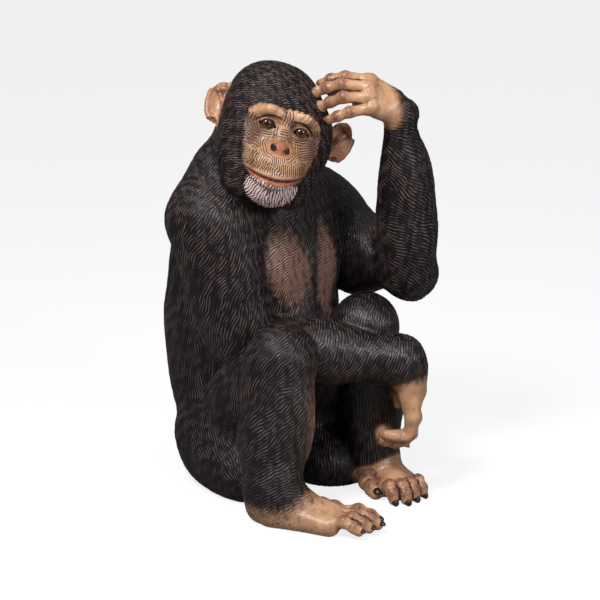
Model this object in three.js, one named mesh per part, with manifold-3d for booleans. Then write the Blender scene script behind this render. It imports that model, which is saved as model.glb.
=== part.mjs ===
// Seated chimpanzee scratching its head: a life-size figure cast in resin and painted, with no stand.
// Millimetres, +Z up. The body faces -Y, its right side is -X. It rests on the rump and on both soles.
import * as THREE from "three";
import Module from "manifold-3d";

const wasm = await Module();
wasm.setup();
const { Manifold, Mesh } = wasm;

// Driving dimensions
const GAP = 0.35;            // between two parts that touch
const EYE_R = 13;            // eyeball
const EYE_X = 30.5;          // half the distance between the eyes
const EYE_Z = -24;
const HEAD_AT = [-28, 60, 687];
const HEAD_TURN = -30;       // degrees, the face looks to its right
const HEAD_LIFT = 8;
const HEAD_ROLL = 17.5;      // the crown leans to its left
const NOSE_X = -1.5, NOSE_Z = -60, MOUTH_X = 2, MOUTH_Z = -116, CHIN_Z = -131;
const SHOULDER_R = [-154, 108, 508], ELBOW_R = [-118, 64, 284], WRIST_R = [76, -143, 259];
const SHOULDER_L = [144, 146, 466], ELBOW_L = [172, -55, 396], WRIST_L = [112, -99, 684];
const HIP_R = [-70, 142, 96], KNEE_R = [-121, -55, 283], ANKLE_R = [-166, -84, 62];
const HIP_L = [70, 142, 96], KNEE_L = [97, -30, 300], ANKLE_L = [94, -62, 60];
const FOOT_R = [-160, -100], FOOT_L = [112, -40];
const FOOT_TURN_R = 31, FOOT_TURN_L = -16;   // degrees from straight ahead, both turned inwards
const PALM = 84;             // wrist to knuckles
const FINGER_R = 10.2;
const TOE_R = 11.4;

const V = (a) => new THREE.Vector3(a[0], a[1], a[2]);
const mix = (a, b, t) => a.map((v, i) => v + (b[i] - v) * t);
const rad = THREE.MathUtils.degToRad;

// Soft shapes: each is a distance from a point, and how widely it melts into the ones before it
const softMin = (a, b, k) => {
  const h = Math.max(k - Math.abs(a - b), 0) / k;
  return Math.min(a, b) - h * h * k / 4;
};
const egg = (c, r, blend = 25, turn = null, hollow = false) => {
  const q = turn ? new THREE.Quaternion().setFromEuler(new THREE.Euler(...turn.map(rad))).invert() : null;
  const d = new THREE.Vector3();
  const at = (p) => {
    d.set(p.x - c[0], p.y - c[1], p.z - c[2]);
    if (q) d.applyQuaternion(q);
    const k0 = Math.hypot(d.x / r[0], d.y / r[1], d.z / r[2]);
    const k1 = Math.hypot(d.x / r[0] ** 2, d.y / r[1] ** 2, d.z / r[2] ** 2);
    return k1 < 1e-9 ? -Math.min(...r) : k0 * (k0 - 1) / k1;
  };
  return { at, blend, hollow };
};
const ball = (c, r, blend = 25) => egg(c, [r, r, r], blend);
const dent = (c, r, blend = 8, turn = null) => egg(c, r, blend, turn, true);
const bone = (a, ra, b, rb, blend = 25) => {
  const A = V(a), AB = V(b).sub(A), l2 = AB.lengthSq(), d = new THREE.Vector3();
  const at = (p) => {
    d.copy(p).sub(A);
    const h = Math.min(1, Math.max(0, d.dot(AB) / l2));
    return d.addScaledVector(AB, -h).length() - (ra + (rb - ra) * h);
  };
  return { at, blend, hollow: false };
};
const melt = (shapes) => (p) => shapes.reduce(
  (d, s) => (s.hollow ? -softMin(-d, s.at(p), s.blend) : softMin(d, s.at(p), s.blend)), 1e3);

// A closed solid from rows of points: one pole, rings of equal length, one pole
function close(rows, sides) {
  const xyz = rows.flat().flatMap((p) => [p.x, p.y, p.z]);
  const geometry = new THREE.BufferGeometry();
  geometry.setAttribute("position", new THREE.Float32BufferAttribute(xyz, 3));
  const index = [], rings = rows.length - 2, last = 1 + rings * sides;
  for (let j = 0; j < sides; j++) {
    const k = (j + 1) % sides;
    index.push(0, 1 + k, 1 + j);
    for (let i = 0; i < rings - 1; i++) {
      const a = 1 + i * sides, b = a + sides;
      index.push(a + j, a + k, b + k, a + j, b + k, b + j);
    }
    index.push(last, 1 + (rings - 1) * sides + j, 1 + (rings - 1) * sides + k);
  }
  geometry.setIndex(index);
  return solidOf(geometry);
}

function solidOf(geometry) {
  const make = (flip) => {
    const i = Array.from(geometry.index.array);
    if (flip) for (let k = 0; k < i.length; k += 3) [i[k], i[k + 1]] = [i[k + 1], i[k]];
    return new Manifold(new Mesh({
      numProp: 3,
      vertProperties: Float32Array.from(geometry.attributes.position.array),
      triVerts: Uint32Array.from(i),
    }));
  };
  const solid = make(false);
  return solid.volume() < 0 ? make(true) : solid;
}

// The surface of a soft shape, found by rays sent out from a path that runs inside it
function skin(shapes, spine, { rings = 10, sides = 14, head = 3, tail = 3, grow = 0, side = [1, 0, 0] } = {}) {
  const field = melt(shapes);
  const path = new THREE.CatmullRomCurve3(spine.map(V));
  const reachOut = (from, dir) => {
    const p = new THREE.Vector3();
    const at = (s) => field(p.copy(dir).multiplyScalar(s).add(from)) - grow;
    let a = 0, b = 0;
    for (let s = 1.5; s < 500; s += 1.5) { if (at(s) > 0) { b = s; break; } a = s; }
    for (let n = 0; n < 18; n++) { const m = (a + b) / 2; if (at(m) > 0) b = m; else a = m; }
    at(a);
    return p.clone();
  };
  const row = (t, lean) => {
    const from = path.getPoint(t), T = path.getTangent(t).normalize();
    const S = V(side).addScaledVector(T, -V(side).dot(T)).normalize(), U = new THREE.Vector3().crossVectors(T, S);
    const out = [];
    const n = Math.abs(lean) > 89.9 ? 1 : sides;
    for (let j = 0; j < n; j++) {
      const a = (j / sides) * 2 * Math.PI;
      const dir = S.clone().multiplyScalar(Math.cos(a)).addScaledVector(U, Math.sin(a)).multiplyScalar(Math.cos(rad(lean)));
      out.push(reachOut(from, dir.addScaledVector(T, Math.sin(rad(lean))).normalize()));
    }
    return out;
  };
  const rows = [];
  for (let k = 0; k < head; k++) rows.push(row(0, -90 * (1 - k / head)));
  for (let k = 0; k <= rings; k++) rows.push(row(k / rings, 0));
  for (let k = 1; k <= tail; k++) rows.push(row(1, 90 * (k / tail)));
  return close(rows, sides);
}

const cut = (a, b) => a.subtract(b);
const join = (...solids) => solids.reduce((a, b) => a.add(b));
const largest = (solid) => solid.decompose().sort((a, b) => b.volume() - a.volume())[0];

// Head, in its own space: face towards -Y, its left towards +X, origin in the middle of the skull
const headMatrix = (() => {
  const [st, ct, cl] = [Math.sin(rad(HEAD_TURN)), Math.cos(rad(HEAD_TURN)), Math.cos(rad(HEAD_LIFT))];
  const f = V([st * cl, -ct * cl, Math.sin(rad(HEAD_LIFT))]);
  const x0 = V([ct, st, 0]), y = f.clone().negate();
  const z0 = new THREE.Vector3().crossVectors(x0, y), r = rad(HEAD_ROLL);
  const x = x0.clone().multiplyScalar(Math.cos(r)).addScaledVector(z0, -Math.sin(r));
  const z = z0.clone().multiplyScalar(Math.cos(r)).addScaledVector(x0, Math.sin(r));
  return new THREE.Matrix4().makeBasis(x, y, z).setPosition(...HEAD_AT);
})();
const onHead = (solid) => solid.transform(headMatrix.elements);
const both = (f) => [f(-1), f(1)].flat();

function head(grow) {
  const n = NOSE_Z, m = MOUTH_Z;
  const shapes = [
    egg([-10, 6, -2], [85, 94, 89]),
    egg([-44, 0, 22], [46, 60, 50], 30),
    egg([0, 20, -40], [84, 78, 62], 30),
    ...both((s) => egg([s * 58, -22, -46], [41, 48, 68], 36)),
    ...both((s) => egg([s * 44 + 1, -48, -116], [37, 38, 44], 30)),
    egg([0, -52, -20], [61, 38, 48], 18),
    ...both((s) => bone([s * 9, -84, -4], 10.5, [s * 34, -87, 1], 11.5, 10)),
    ...both((s) => bone([s * 34, -87, 1], 11.5, [s * 56, -70, -14], 9, 10)),
    ...both((s) => egg([s * 47, -64, -60], [17, 20, 26], 16)),
    ...both((s) => egg([s * 18 - 1, -76, -54], [14, 15, 17], 14)),
    egg([MOUTH_X, -88, -94], [49, 46, 42], 20),
    egg([0, -74, CHIN_Z], [42, 43, 34], 22),
    bone([-1, -78, -14], 11, [NOSE_X, -98, n + 2], 9, 14),
    ...both((s) => dent([s * EYE_X, -101, EYE_Z], [17, 13, 12], 9)),
    ...both((s) => ball([s * EYE_X, -76, EYE_Z], EYE_R + 2.6, 3)),
    egg([NOSE_X, -105, n], [11, 10, 9], 6),
    ...both((s) => egg([s * 11 + NOSE_X, -102, n - 2], [9, 8, 8], 4)),
    ...both((s) => bone([MOUTH_X, -128, m - 1], 10, [s * 26 + MOUTH_X, -119, m + 3 + s], 9, 12)),
    ...both((s) => bone([s * 26 + MOUTH_X, -119, m + 3 + s], 9, [s * 47 + MOUTH_X, -96, m + 11 + s * 3], 5, 10)),
  ];
  // the rays fan out towards the face, which gets the finest mesh
  let solid = skin(shapes, [[0, -44, -58], [-0.5, -12, -39], [-1, 20, -20]],
    { rings: 7, sides: 34, head: 14, tail: 5, grow });
  if (grow) return onHead(solid);
  // slits of the lids, nostrils and the line of the mouth
  for (const s of [-1, 1]) {
    solid = cut(solid, oval([s * EYE_X, -90, EYE_Z - 0.5], [13, 9, 8.4], [0, 0, s * 14], 16, 8));
    solid = cut(solid, oval([s * 9.5 + NOSE_X, -111, n - 3], [4.6, 7, 3.4], [0, 0, s * 20], 10, 6));
  }
  const line = [[-50, -97, 10], [-36, -119, 4.5], [-18, -132, 1], [MOUTH_X, -138.5, 0.5],
    [22, -132, 4], [38, -119, 10], [53, -97, 18]].map(([x, y, z]) => V([x, y, m + z]));
  solid = cut(solid, tube(new THREE.CatmullRomCurve3(line), 14, 2.4, 4));
  return onHead(solid);
}

function oval(c, r, turn = [0, 0, 0], w = 20, h = 12) {
  const g = new THREE.SphereGeometry(1, w, h).scale(...r);
  g.applyMatrix4(new THREE.Matrix4().makeRotationFromEuler(new THREE.Euler(...turn.map(rad))).setPosition(...c));
  return solidOf(weld(g));
}
function weld(g) {
  const seen = new Map(), xyz = [], index = [];
  const at = g.attributes.position, old = g.index.array, to = [];
  for (let i = 0; i < at.count; i++) {
    const p = [at.getX(i), at.getY(i), at.getZ(i)], key = p.map((v) => v.toFixed(4)).join();
    if (!seen.has(key)) { seen.set(key, xyz.length / 3); xyz.push(...p); }
    to.push(seen.get(key));
  }
  for (let k = 0; k < old.length; k += 3) {
    const t = [to[old[k]], to[old[k + 1]], to[old[k + 2]]];
    if (t[0] !== t[1] && t[1] !== t[2] && t[2] !== t[0]) index.push(...t);
  }
  const out = new THREE.BufferGeometry();
  out.setAttribute("position", new THREE.Float32BufferAttribute(xyz, 3));
  out.setIndex(index);
  return out;
}
function tube(curve, steps, r, sides) {
  const rows = [[curve.getPoint(0)]];
  const frames = curve.computeFrenetFrames(steps, false);
  for (let i = 0; i <= steps; i++) {
    const c = curve.getPoint(i / steps), f = r * (i === 0 || i === steps ? 0.5 : 1);
    rows.push(Array.from({ length: sides }, (_, j) => c.clone()
      .addScaledVector(frames.normals[i], f * Math.cos((j / sides) * 2 * Math.PI))
      .addScaledVector(frames.binormals[i], f * Math.sin((j / sides) * 2 * Math.PI))));
  }
  rows[0][0].addScaledVector(frames.tangents[0], -1);
  rows.push([curve.getPoint(1).addScaledVector(frames.tangents[steps], 1)]);
  return close(rows, sides);
}

const eye = (s) => (grow) =>
  onHead(oval([s * EYE_X, -76, EYE_Z], [EYE_R, EYE_R, EYE_R].map((v) => v + grow), [90, 0, 0], 14, 10));

// Ear: a leaning shell with a raised rim, hollowed on the side that faces forward
const ear = (s) => (grow) => {
  const place = new THREE.Matrix4()
    .makeRotationFromEuler(new THREE.Euler(rad(-8), rad(s * 16 + 8), rad(s * 22), "ZYX"))
    .setPosition(s * 110 + 4, 2, -20 - s * 4);
  const r = (a) => a.map((v) => v + grow);
  let shell = join(oval([0, 0, 4], r([27, 9, 40]), [0, 0, 0], 18, 10),
    oval([-s * 18, 4, -6], r([16, 11, 28]), [0, 0, 0], 10, 6));
  if (!grow) {
    shell = cut(shell, oval([s * 2, -10, 7], [20, 9.5, 31], [0, 0, 0], 14, 8));
    shell = cut(shell, oval([-s * 4, -8, -14], [11, 10.5, 17], [0, s * 12, 0], 10, 6));
    shell = join(shell, oval([-s * 2, -1, 10], [4, 5, 20], [0, s * 18, 0], 6, 6));
  }
  return onHead(shell.transform(place.elements));
};

// Torso with the neck
function torso(grow) {
  return skin([
    egg([-6, 172, 300], [173, 146, 190]),
    egg([0, 176, 118], [148, 134, 150], 60),
    egg([-2, 152, 440], [136, 118, 130], 50),
    egg([0, 86, 250], [96, 70, 110], 50),
    ...both((s) => egg([s * 48, 66, 408], [58, 42, 70], 30)),
    ...both((s) => ball([s * 108, 150, 478], 76, 50)),
    bone([-4, 172, 520], 90, [-20, 96, 640], 80, 60),
    ball([-98, 130, 578], 60, 60),
    ball([80, 140, 524], 47, 60),
    egg([-90, 190, 206], [71, 66, 106], 40),
    egg([-92, 185, 400], [68, 62, 66], 40),
  ], [[0, 178, 90], [0, 176, 300], [-4, 154, 470], [-22, 98, 610]], { rings: 15, sides: 20, head: 3, tail: 3, grow });
}

// Arms
const upperArmR = (grow) => skin([
  bone(SHOULDER_R, 64, ELBOW_R, 50),
  egg(mix(SHOULDER_R, ELBOW_R, 0.06), [70, 80, 72], 30),
  egg(mix(SHOULDER_R, ELBOW_R, 0.45), [62, 76, 96], 40),
  egg(mix(SHOULDER_R, ELBOW_R, 0.86), [52, 66, 60], 40),
], [0.02, 0.5, 0.98].map((t) => mix(SHOULDER_R, ELBOW_R, t)), { rings: 8, sides: 14, grow });
function upperArmL(grow) {
  const [S, E] = [SHOULDER_L, ELBOW_L];
  const below = (t, d) => mix(S, E, t).map((v, i) => v - (i === 2 ? d : 0));
  return skin([
    bone(S, 62, E, 47),
    egg(below(0.1, -2), [60, 66, 60], 30),
    egg(below(0.42, 52), [52, 72, 58], 40),
    ball([E[0] + 13, E[1] - 15, E[2] - 17], 38, 26),
  ], [mix(S, E, 0.02), below(0.45, 12), mix(S, E, 0.98)], { rings: 8, sides: 14, grow });
}
function forearmR(grow) {
  const [E, W] = [ELBOW_R, WRIST_R];
  return skin([bone(E, 50, W, 44), egg(mix(E, W, 0.5), [52, 54, 53], 50), ball(W, 43, 20),
    bone(W, 36, [W[0] + 15, W[1] - 12, W[2] - 26], 24, 16)],
  [mix(E, W, 0.03), mix(E, W, 0.5), W], { rings: 8, sides: 14, tail: 4, grow, side: [0, 0, 1] });
}
function forearmL(grow) {
  const [E, W] = [ELBOW_L, WRIST_L];
  return skin([bone(E, 49, W, 28), egg(mix(E, W, 0.3).map((v, i) => v + [6, -5, 0][i]), [44, 46, 84], 50),
    egg(mix(E, W, 0.62).map((v, i) => v + [8, -7, 0][i]), [35, 38, 62], 40),
    ball([E[0] + 12, E[1] - 14, E[2] - 14], 38, 26)], [E, mix(E, W, 0.5), W], { rings: 9, sides: 14, grow });
}

// Hand: wrist, the way the fingers point, the way its back faces; thumb says on which side the thumb is
function hand({ wrist, along, back, thumb, curl, spread, thumbBones, stout, wide }, grow) {
  const Y = V(along).normalize(), Z = V(back);
  Z.addScaledVector(Y, -Z.dot(Y)).normalize();
  const X = new THREE.Vector3().crossVectors(Y, Z).multiplyScalar(thumb);
  const at = (x, y, z) => V(wrist).addScaledVector(X, x).addScaledVector(Y, y).addScaledVector(Z, z).toArray();
  const base = [0, 1, 2, 3].map((i) => at((1.5 - i) * 17.5, PALM - [4, 0, 3, 11][i], -1 - Math.abs(i - 1.3) * 1.5));
  const palm = skin([
    bone(at(0, -6, 0), wide, at(0, 30, 0), 25 * stout),
    ...base.map((b, i) => bone(at((1.5 - i) * 10, 24, 0), 17 * stout, b, 12.5 * stout, 9)),
    bone(at(12, 16, -6), 15, at(26, 46, -10), 12, 10),
    bone(at(-14, 18, -6), 14, at(-22, 56, -6), 11, 10),
  ], [at(0, -6, 0), at(0, 40, -2), at(0, PALM - 10, -3)], { rings: 6, sides: 14, head: 2, tail: 2, grow, side: X.toArray() });
  const fingers = base.map((b, i) => {
    const size = [0.94, 1, 0.96, 0.82][i], r = FINGER_R * stout * [1, 1, 0.97, 0.9][i];
    const steps = [44, 29, 21].map((v) => v * size);
    const aside = rad(spread[i]);
    let f = 0, p = V(b);
    const joints = [p.toArray()];
    steps.forEach((len, k) => {
      f += rad(curl[i][k]);
      const d = Y.clone().multiplyScalar(Math.cos(aside)).addScaledVector(X, Math.sin(aside))
        .multiplyScalar(Math.cos(f)).addScaledVector(Z, -Math.sin(f));
      p = p.clone().addScaledVector(d, len);
      joints.push(p.toArray());
    });
    const up = Z.clone().multiplyScalar(Math.cos(f)).addScaledVector(Y, Math.sin(f)).multiplyScalar(r * 0.62);
    return digit(joints, r, up, grow);
  });
  const T = thumbBones.map((q) => at(...q));
  return join(palm, ...fingers, digit(T, FINGER_R * 1.05, Z.clone().multiplyScalar(FINGER_R * 0.6), grow));
}
function digit(joints, r, up, grow) {
  const n = joints.length - 1, shapes = [];
  for (let k = 0; k < n; k++) {
    shapes.push(bone(joints[k], r * (1.06 - 0.07 * k), joints[k + 1], r * (0.98 - 0.07 * k), 6));
  }
  for (let k = 1; k < n; k++) {
    shapes.push(ball(V(joints[k]).addScaledVector(up, 0.28).toArray(), r * (1.02 - 0.05 * k), 5));
  }
  const nail = mix(joints[n - 1], joints[n], 0.86);
  shapes.push(ball(V(nail).add(up).toArray(), r * 0.48, 3));
  const last = mix(joints[n - 1], joints[n], 0.97);
  return skin(shapes, [joints[0], ...joints.slice(1, n), last],
    { rings: 2 * n - 1, sides: 7, head: 1, tail: 2, grow, side: up.clone().normalize().toArray() });
}
const handR = (grow) => hand({
  wrist: [WRIST_R[0] + 15, WRIST_R[1] - 13, WRIST_R[2] - 24], along: [0.075, -0.065, -1], back: [0.766, -0.643, 0],
  thumb: -1, curl: [[7, 78, 18], [8, 80, 16], [10, 82, 14], [12, 84, 10]], spread: [0, 0, 0, 0], stout: 1.12, wide: 31,
  thumbBones: [[20, 12, -6], [29, 32, -15], [28, 50, -22], [24, 62, -25]],
}, grow);
const handL = (grow) => hand({
  wrist: [WRIST_L[0] + 8, WRIST_L[1] + 3, WRIST_L[2] + 11], along: [-0.87, 0.11, 0.47], back: [0.13, -0.89, 0.45],
  thumb: 1, curl: [[38, 29, 19], [34, 36, 12], [42, 38, 8], [42, 30, 8]], spread: [4, 1, -4, -20], stout: 1.03, wide: 24.5,
  thumbBones: [[22, 18, -8], [32, 36, -18], [30, 56, -28], [22, 72, -36]],
}, grow);

// Legs
const thigh = (H, K, s, low, wide, ...more) => (grow) => skin([
  bone(H, 92, mix(H, K, 0.6), 74), bone(mix(H, K, 0.5), 72, mix(H, K, 0.97), 52, 30),
  egg([H[0] + s * 18, H[1] + 4, H[2] - 10], [94, 96, 90], 40),
  egg(low, wide, 50), ...more,
], [mix(H, K, 0.02), mix(H, K, 0.5), mix(H, K, 0.97)], { rings: 8, sides: 14, grow });
const shin = (K, A, turn, size) => (grow) => {
  const back = [-Math.sin(rad(turn)), Math.cos(rad(turn)), 0];
  const behind = (t, d) => mix(K, A, t).map((v, i) => v + back[i] * d);
  return skin([
    bone(mix(K, A, 0.06), 58 * size, A, 41 * size), ball(K, 60 * size, 20),
    egg(mix(K, A, 0.5).map((v, i) => v + [16, -12, 0][i] * size), [42 * size, 44 * size, 84], 30),
    bone(behind(0.25, 14), 50 * size, behind(0.62, 14), 48 * size, 30),
    bone(behind(0.62, 14), 46 * size, behind(1, 8), 42 * size, 30),
  ], [mix(K, A, 0.06), mix(K, A, 0.5), mix(K, A, 0.98)], { rings: 8, sides: 14, grow });
};

// Foot: the ankle's place on the ground, degrees turned, and on which side its big toe is
function foot(A, turn, s, curl, grow) {
  const Y = V([Math.sin(rad(turn)), -Math.cos(rad(turn)), 0]);
  const X = V([Math.cos(rad(turn)), Math.sin(rad(turn)), 0]).multiplyScalar(s);
  const at = (x, y, z) => V([A[0], A[1], z]).addScaledVector(X, x).addScaledVector(Y, y).toArray();
  const lift = (y, z, k) => V(at(0, y, z)).sub(V(at(0, 0, 0))).multiplyScalar(k);
  const sole = skin([
    egg(at(0, -32, 27), [33, 33, 32], 20),
    bone(at(0, -10, 74), 44, at(0, 8, 40), 38, 25),
    bone(at(0, 0, 38), 34, at(2, 88, 22), 25, 30),
    ...[0, 1, 2, 3].map((i) => bone(at(14 - i * 10, 30, 26), 20,
      at(27 - i * 18, 108 - Math.abs(i - 1) * 6, 17), 14.5, 12)),
    bone(at(-22, -10, 18), 17, at(-32, 98, 14), 14.5, 16),
    bone(at(18, 0, 22), 18, at(36, 46, 17), 15, 16),
  ], [at(0, -30, 30), at(0, 10, 32), at(0, 92, 20)], { rings: 8, sides: 14, head: 3, tail: 2, grow, side: X.toArray() });
  const toes = [0, 1, 2, 3].map((i) => {
    const x = 28 - i * 19, y = 106 - [6, 0, 4, 10][i], size = [1, 1.04, 0.97, 0.88][i];
    const far = [0, 32 - 10 * curl, 54 - 19 * curl, 65 - 26 * curl];
    const joints = [20, 28 + 2 * curl, 21 - 2 * curl, 15 - 6 * curl].map((z, k) =>
      [x - [0, 1.2, 2, 2.4][k] * i, y + far[k] * size, z]);
    return digit(joints.map((q) => at(...q)), TOE_R * size, lift(0.5, 0.8, 6), grow);
  });
  const hallux = [[30, 34, 17], [47, 58, 19], [52, 80, 15], [52, 92, 11]];
  const big = digit(hallux.map(([x, y, z], k) => at(x - [0, 4, 8, 8][k] * curl, y + [0, 3, 5, 6][k] * curl, z)),
    TOE_R * 1.36, lift(0.4, 0.9, 8), grow);
  return join(sole, ...toes, big);
}

// Every part, in the order in which one gives way to the next
const parts = {
  eye_right: [eye(-1), "#5a2a1c", 0.12],
  eye_left: [eye(1), "#5a2a1c", 0.12],
  ear_right: [ear(-1), "#c08a63", 0.42],
  ear_left: [ear(1), "#c08a63", 0.42],
  head: [head, "#2b1f1a", 0.4],
  hand_left: [handL, "#c1905f", 0.42],
  hand_right: [handR, "#c1905f", 0.42],
  forearm_left: [forearmL, "#2b1f1a", 0.4],
  forearm_right: [forearmR, "#2b1f1a", 0.4],
  foot_right: [(g) => foot(FOOT_R, FOOT_TURN_R, 1, 0, g), "#c1905f", 0.42],
  foot_left: [(g) => foot(FOOT_L, FOOT_TURN_L, -1, 1, g), "#c1905f", 0.42],
  shin_right: [shin(KNEE_R, ANKLE_R, FOOT_TURN_R, 1), "#2b1f1a", 0.4],
  shin_left: [shin(KNEE_L, ANKLE_L, FOOT_TURN_L, 0.96), "#2b1f1a", 0.4],
  upper_arm_right: [upperArmR, "#2b1f1a", 0.4],
  upper_arm_left: [upperArmL, "#2b1f1a", 0.4],
  thigh_right: [thigh(HIP_R, KNEE_R, -1, [-112, 60, 48], [76, 108, 66], egg([-94, 146, 46], [62, 70, 56], 30)),
    "#2b1f1a", 0.4],
  thigh_left: [thigh(HIP_L, KNEE_L, 1, [60, 30, 34], [76, 84, 62]), "#2b1f1a", 0.4],
  torso: [torso, "#2b1f1a", 0.4],
};

const floor = (() => solidOf(weld(new THREE.BoxGeometry(2000, 2000, 400).translate(0, 0, -200))))();
const names = Object.keys(parts), grown = {};
const group = new THREE.Group();
group.name = "chimpanzee_figure";
const solids = names.map((name, n) => {
  const [make] = parts[name];
  let solid = cut(make(0), floor);
  for (const other of names.slice(0, n)) {
    const box = solid.boundingBox(), rival = (grown[other] ??= parts[other][0](GAP)), b = rival.boundingBox();
    if ([0, 1, 2].every((k) => box.min[k] < b.max[k] && b.min[k] < box.max[k])) solid = cut(solid, rival);
  }
  return largest(solid);
});

// The origin: middle of the outline on the floor
const low = [Infinity, Infinity], high = [-Infinity, -Infinity];
for (const s of solids) {
  const b = s.boundingBox();
  for (const k of [0, 1]) { low[k] = Math.min(low[k], b.min[k]); high[k] = Math.max(high[k], b.max[k]); }
}
const shiftX = -(low[0] + high[0]) / 2, shiftY = -(low[1] + high[1]) / 2;

names.forEach((name, n) => {
  const mesh = solids[n].translate([shiftX, shiftY, 0]).getMesh();
  const geometry = new THREE.BufferGeometry();
  geometry.setAttribute("position", new THREE.BufferAttribute(Float32Array.from(mesh.vertProperties), 3));
  geometry.setIndex(new THREE.BufferAttribute(Uint32Array.from(mesh.triVerts), 1));
  geometry.computeVertexNormals();
  const [, color, roughness] = parts[name];
  const object = new THREE.Mesh(geometry, new THREE.MeshStandardMaterial({ color, roughness, metalness: 0 }));
  object.name = name;
  group.add(object);
});

export default group;
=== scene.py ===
# Seated chimpanzee scratching its head: a life-size figure cast in resin, with carved fur, painted and varnished.
# Metres in Blender; the soft shapes and the carving are worked out in millimetres, in the part's own frame.
import math
import bmesh
import bpy
import numpy as np
from mathutils import Euler, Matrix, Vector


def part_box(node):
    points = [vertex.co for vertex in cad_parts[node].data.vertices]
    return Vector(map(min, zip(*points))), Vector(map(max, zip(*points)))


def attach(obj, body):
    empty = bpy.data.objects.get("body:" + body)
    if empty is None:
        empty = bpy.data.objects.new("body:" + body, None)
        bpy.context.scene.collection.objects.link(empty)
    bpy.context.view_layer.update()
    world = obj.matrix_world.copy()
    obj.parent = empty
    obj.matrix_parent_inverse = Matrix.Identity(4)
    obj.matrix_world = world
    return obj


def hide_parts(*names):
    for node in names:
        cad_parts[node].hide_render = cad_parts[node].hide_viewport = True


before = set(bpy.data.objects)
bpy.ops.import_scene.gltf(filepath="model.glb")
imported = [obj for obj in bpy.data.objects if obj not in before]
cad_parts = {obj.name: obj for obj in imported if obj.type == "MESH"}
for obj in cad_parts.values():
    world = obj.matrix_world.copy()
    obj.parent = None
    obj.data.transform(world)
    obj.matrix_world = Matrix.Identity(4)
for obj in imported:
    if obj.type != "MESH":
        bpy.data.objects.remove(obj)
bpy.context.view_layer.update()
MM = 0.001
F = np.float32
SIDES = (-1, 1)                          # the figure's right and its left
rng = np.random.default_rng(7)

# The figure's measures, as in the part's source
EYE_R, EYE_X, EYE_Y, EYE_Z = 13.0, 30.5, -76, -24
HEAD_AT, HEAD_TURN, HEAD_LIFT, HEAD_ROLL = (-28, 60, 687), -30, 8, 17.5
NOSE_X, NOSE_Z, MOUTH_X, MOUTH_Z, CHIN_Z = -2.5, -60, 2, -116, -131
SHOULDER_R, ELBOW_R, WRIST_R = (-154, 108, 508), (-118, 64, 284), (76, -143, 259)
SHOULDER_L, ELBOW_L, WRIST_L = (144, 146, 466), (172, -55, 396), (112, -99, 684)
HIP_R, KNEE_R, ANKLE_R = (-70, 142, 96), (-121, -55, 283), (-166, -84, 62)
HIP_L, KNEE_L, ANKLE_L = (70, 142, 96), (97, -30, 300), (94, -62, 60)
FOOT_R, FOOT_L, FOOT_TURN_R, FOOT_TURN_L = (-160, -100), (112, -40), 31, -16
PALM, FINGER_R, TOE_R = 84, 10.2, 11.4
VIEW_AZ, VIEW_EL, VIEW_DISTANCE, VIEW_LENS, VIEW_AIM = -40, 15, 3.2, 112.94, (-130, -115, 400)
FLESH = ("torso", "thigh_right", "thigh_left", "shin_right", "shin_left", "foot_right", "foot_left",
         "upper_arm_right", "upper_arm_left", "forearm_right", "forearm_left", "hand_right", "hand_left",
         "head", "ear_right", "ear_left")


def vec(p):
    return np.array(p, float)


def vecf(p):
    return np.array(p, F)


def mix(a, b, t):
    return vec(a) + (vec(b) - vec(a)) * t


def unit(v):
    v = np.asarray(v, float)
    return v / (np.linalg.norm(v, axis=-1, keepdims=True) + 1e-12)


def smooth(x, a, b):
    """0 before a, 1 after b, and a soft step between them."""
    t = np.clip((x - a) / (b - a), 0, 1)
    return t * t * (3 - 2 * t)


def until(x, a, b):
    """1 before a, 0 after b, and a soft step between them."""
    return 1 - smooth(x, a, b)


def hump(x, centre, width):
    """1 at the centre, falling off on both sides."""
    return np.exp(-((x - centre) / width) ** 2)


def ahead(azimuth, elevation=0):
    """The way that something turned and lifted by these degrees faces."""
    a, e = math.radians(azimuth), math.radians(elevation)
    return vec((math.sin(a) * math.cos(e), -math.cos(a) * math.cos(e), math.sin(e)))


def aside(azimuth):
    """The level way to its left side, which a camera there sees on its right."""
    return vec((math.cos(math.radians(azimuth)), math.sin(math.radians(azimuth)), 0))


# The picture's right, its up, and the way to the camera
RIGHT, BACK = aside(VIEW_AZ), ahead(VIEW_AZ, VIEW_EL)
UP = np.cross(BACK, RIGHT)


def waves(P, size, seed, count=7):
    """Smooth noise from a few crossing waves, mostly between -1 and 1."""
    r = np.random.default_rng(seed)
    out = np.zeros(len(P), F)
    for _ in range(count):
        k = (unit(r.normal(size=3)) * 2 * math.pi / size * r.uniform(0.6, 1.5)).astype(F)
        out += np.sin(P @ k + F(r.uniform(0, 6.3)))
    return out / F(math.sqrt(count / 2) * 1.3)


# Head's own space: face towards -Y, its left towards +X
def head_axes():
    side, back, r = aside(HEAD_TURN), -ahead(HEAD_TURN, HEAD_LIFT), math.radians(HEAD_ROLL)
    top = np.cross(side, back)
    return np.stack([side * math.cos(r) - top * math.sin(r), back, top * math.cos(r) + side * math.sin(r)])


HEAD = head_axes()                       # its rows are the head's x, y and z


def from_head(p):
    return vec(p) @ HEAD + vec(HEAD_AT)


def to_head(P):
    return ((P - vec(HEAD_AT)) @ HEAD.T).astype(F)


low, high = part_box("eye_right")
SHIFT = np.array((low + high) / 2) / MM - from_head((-EYE_X, EYE_Y, EYE_Z))      # how far the part was centred


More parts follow.
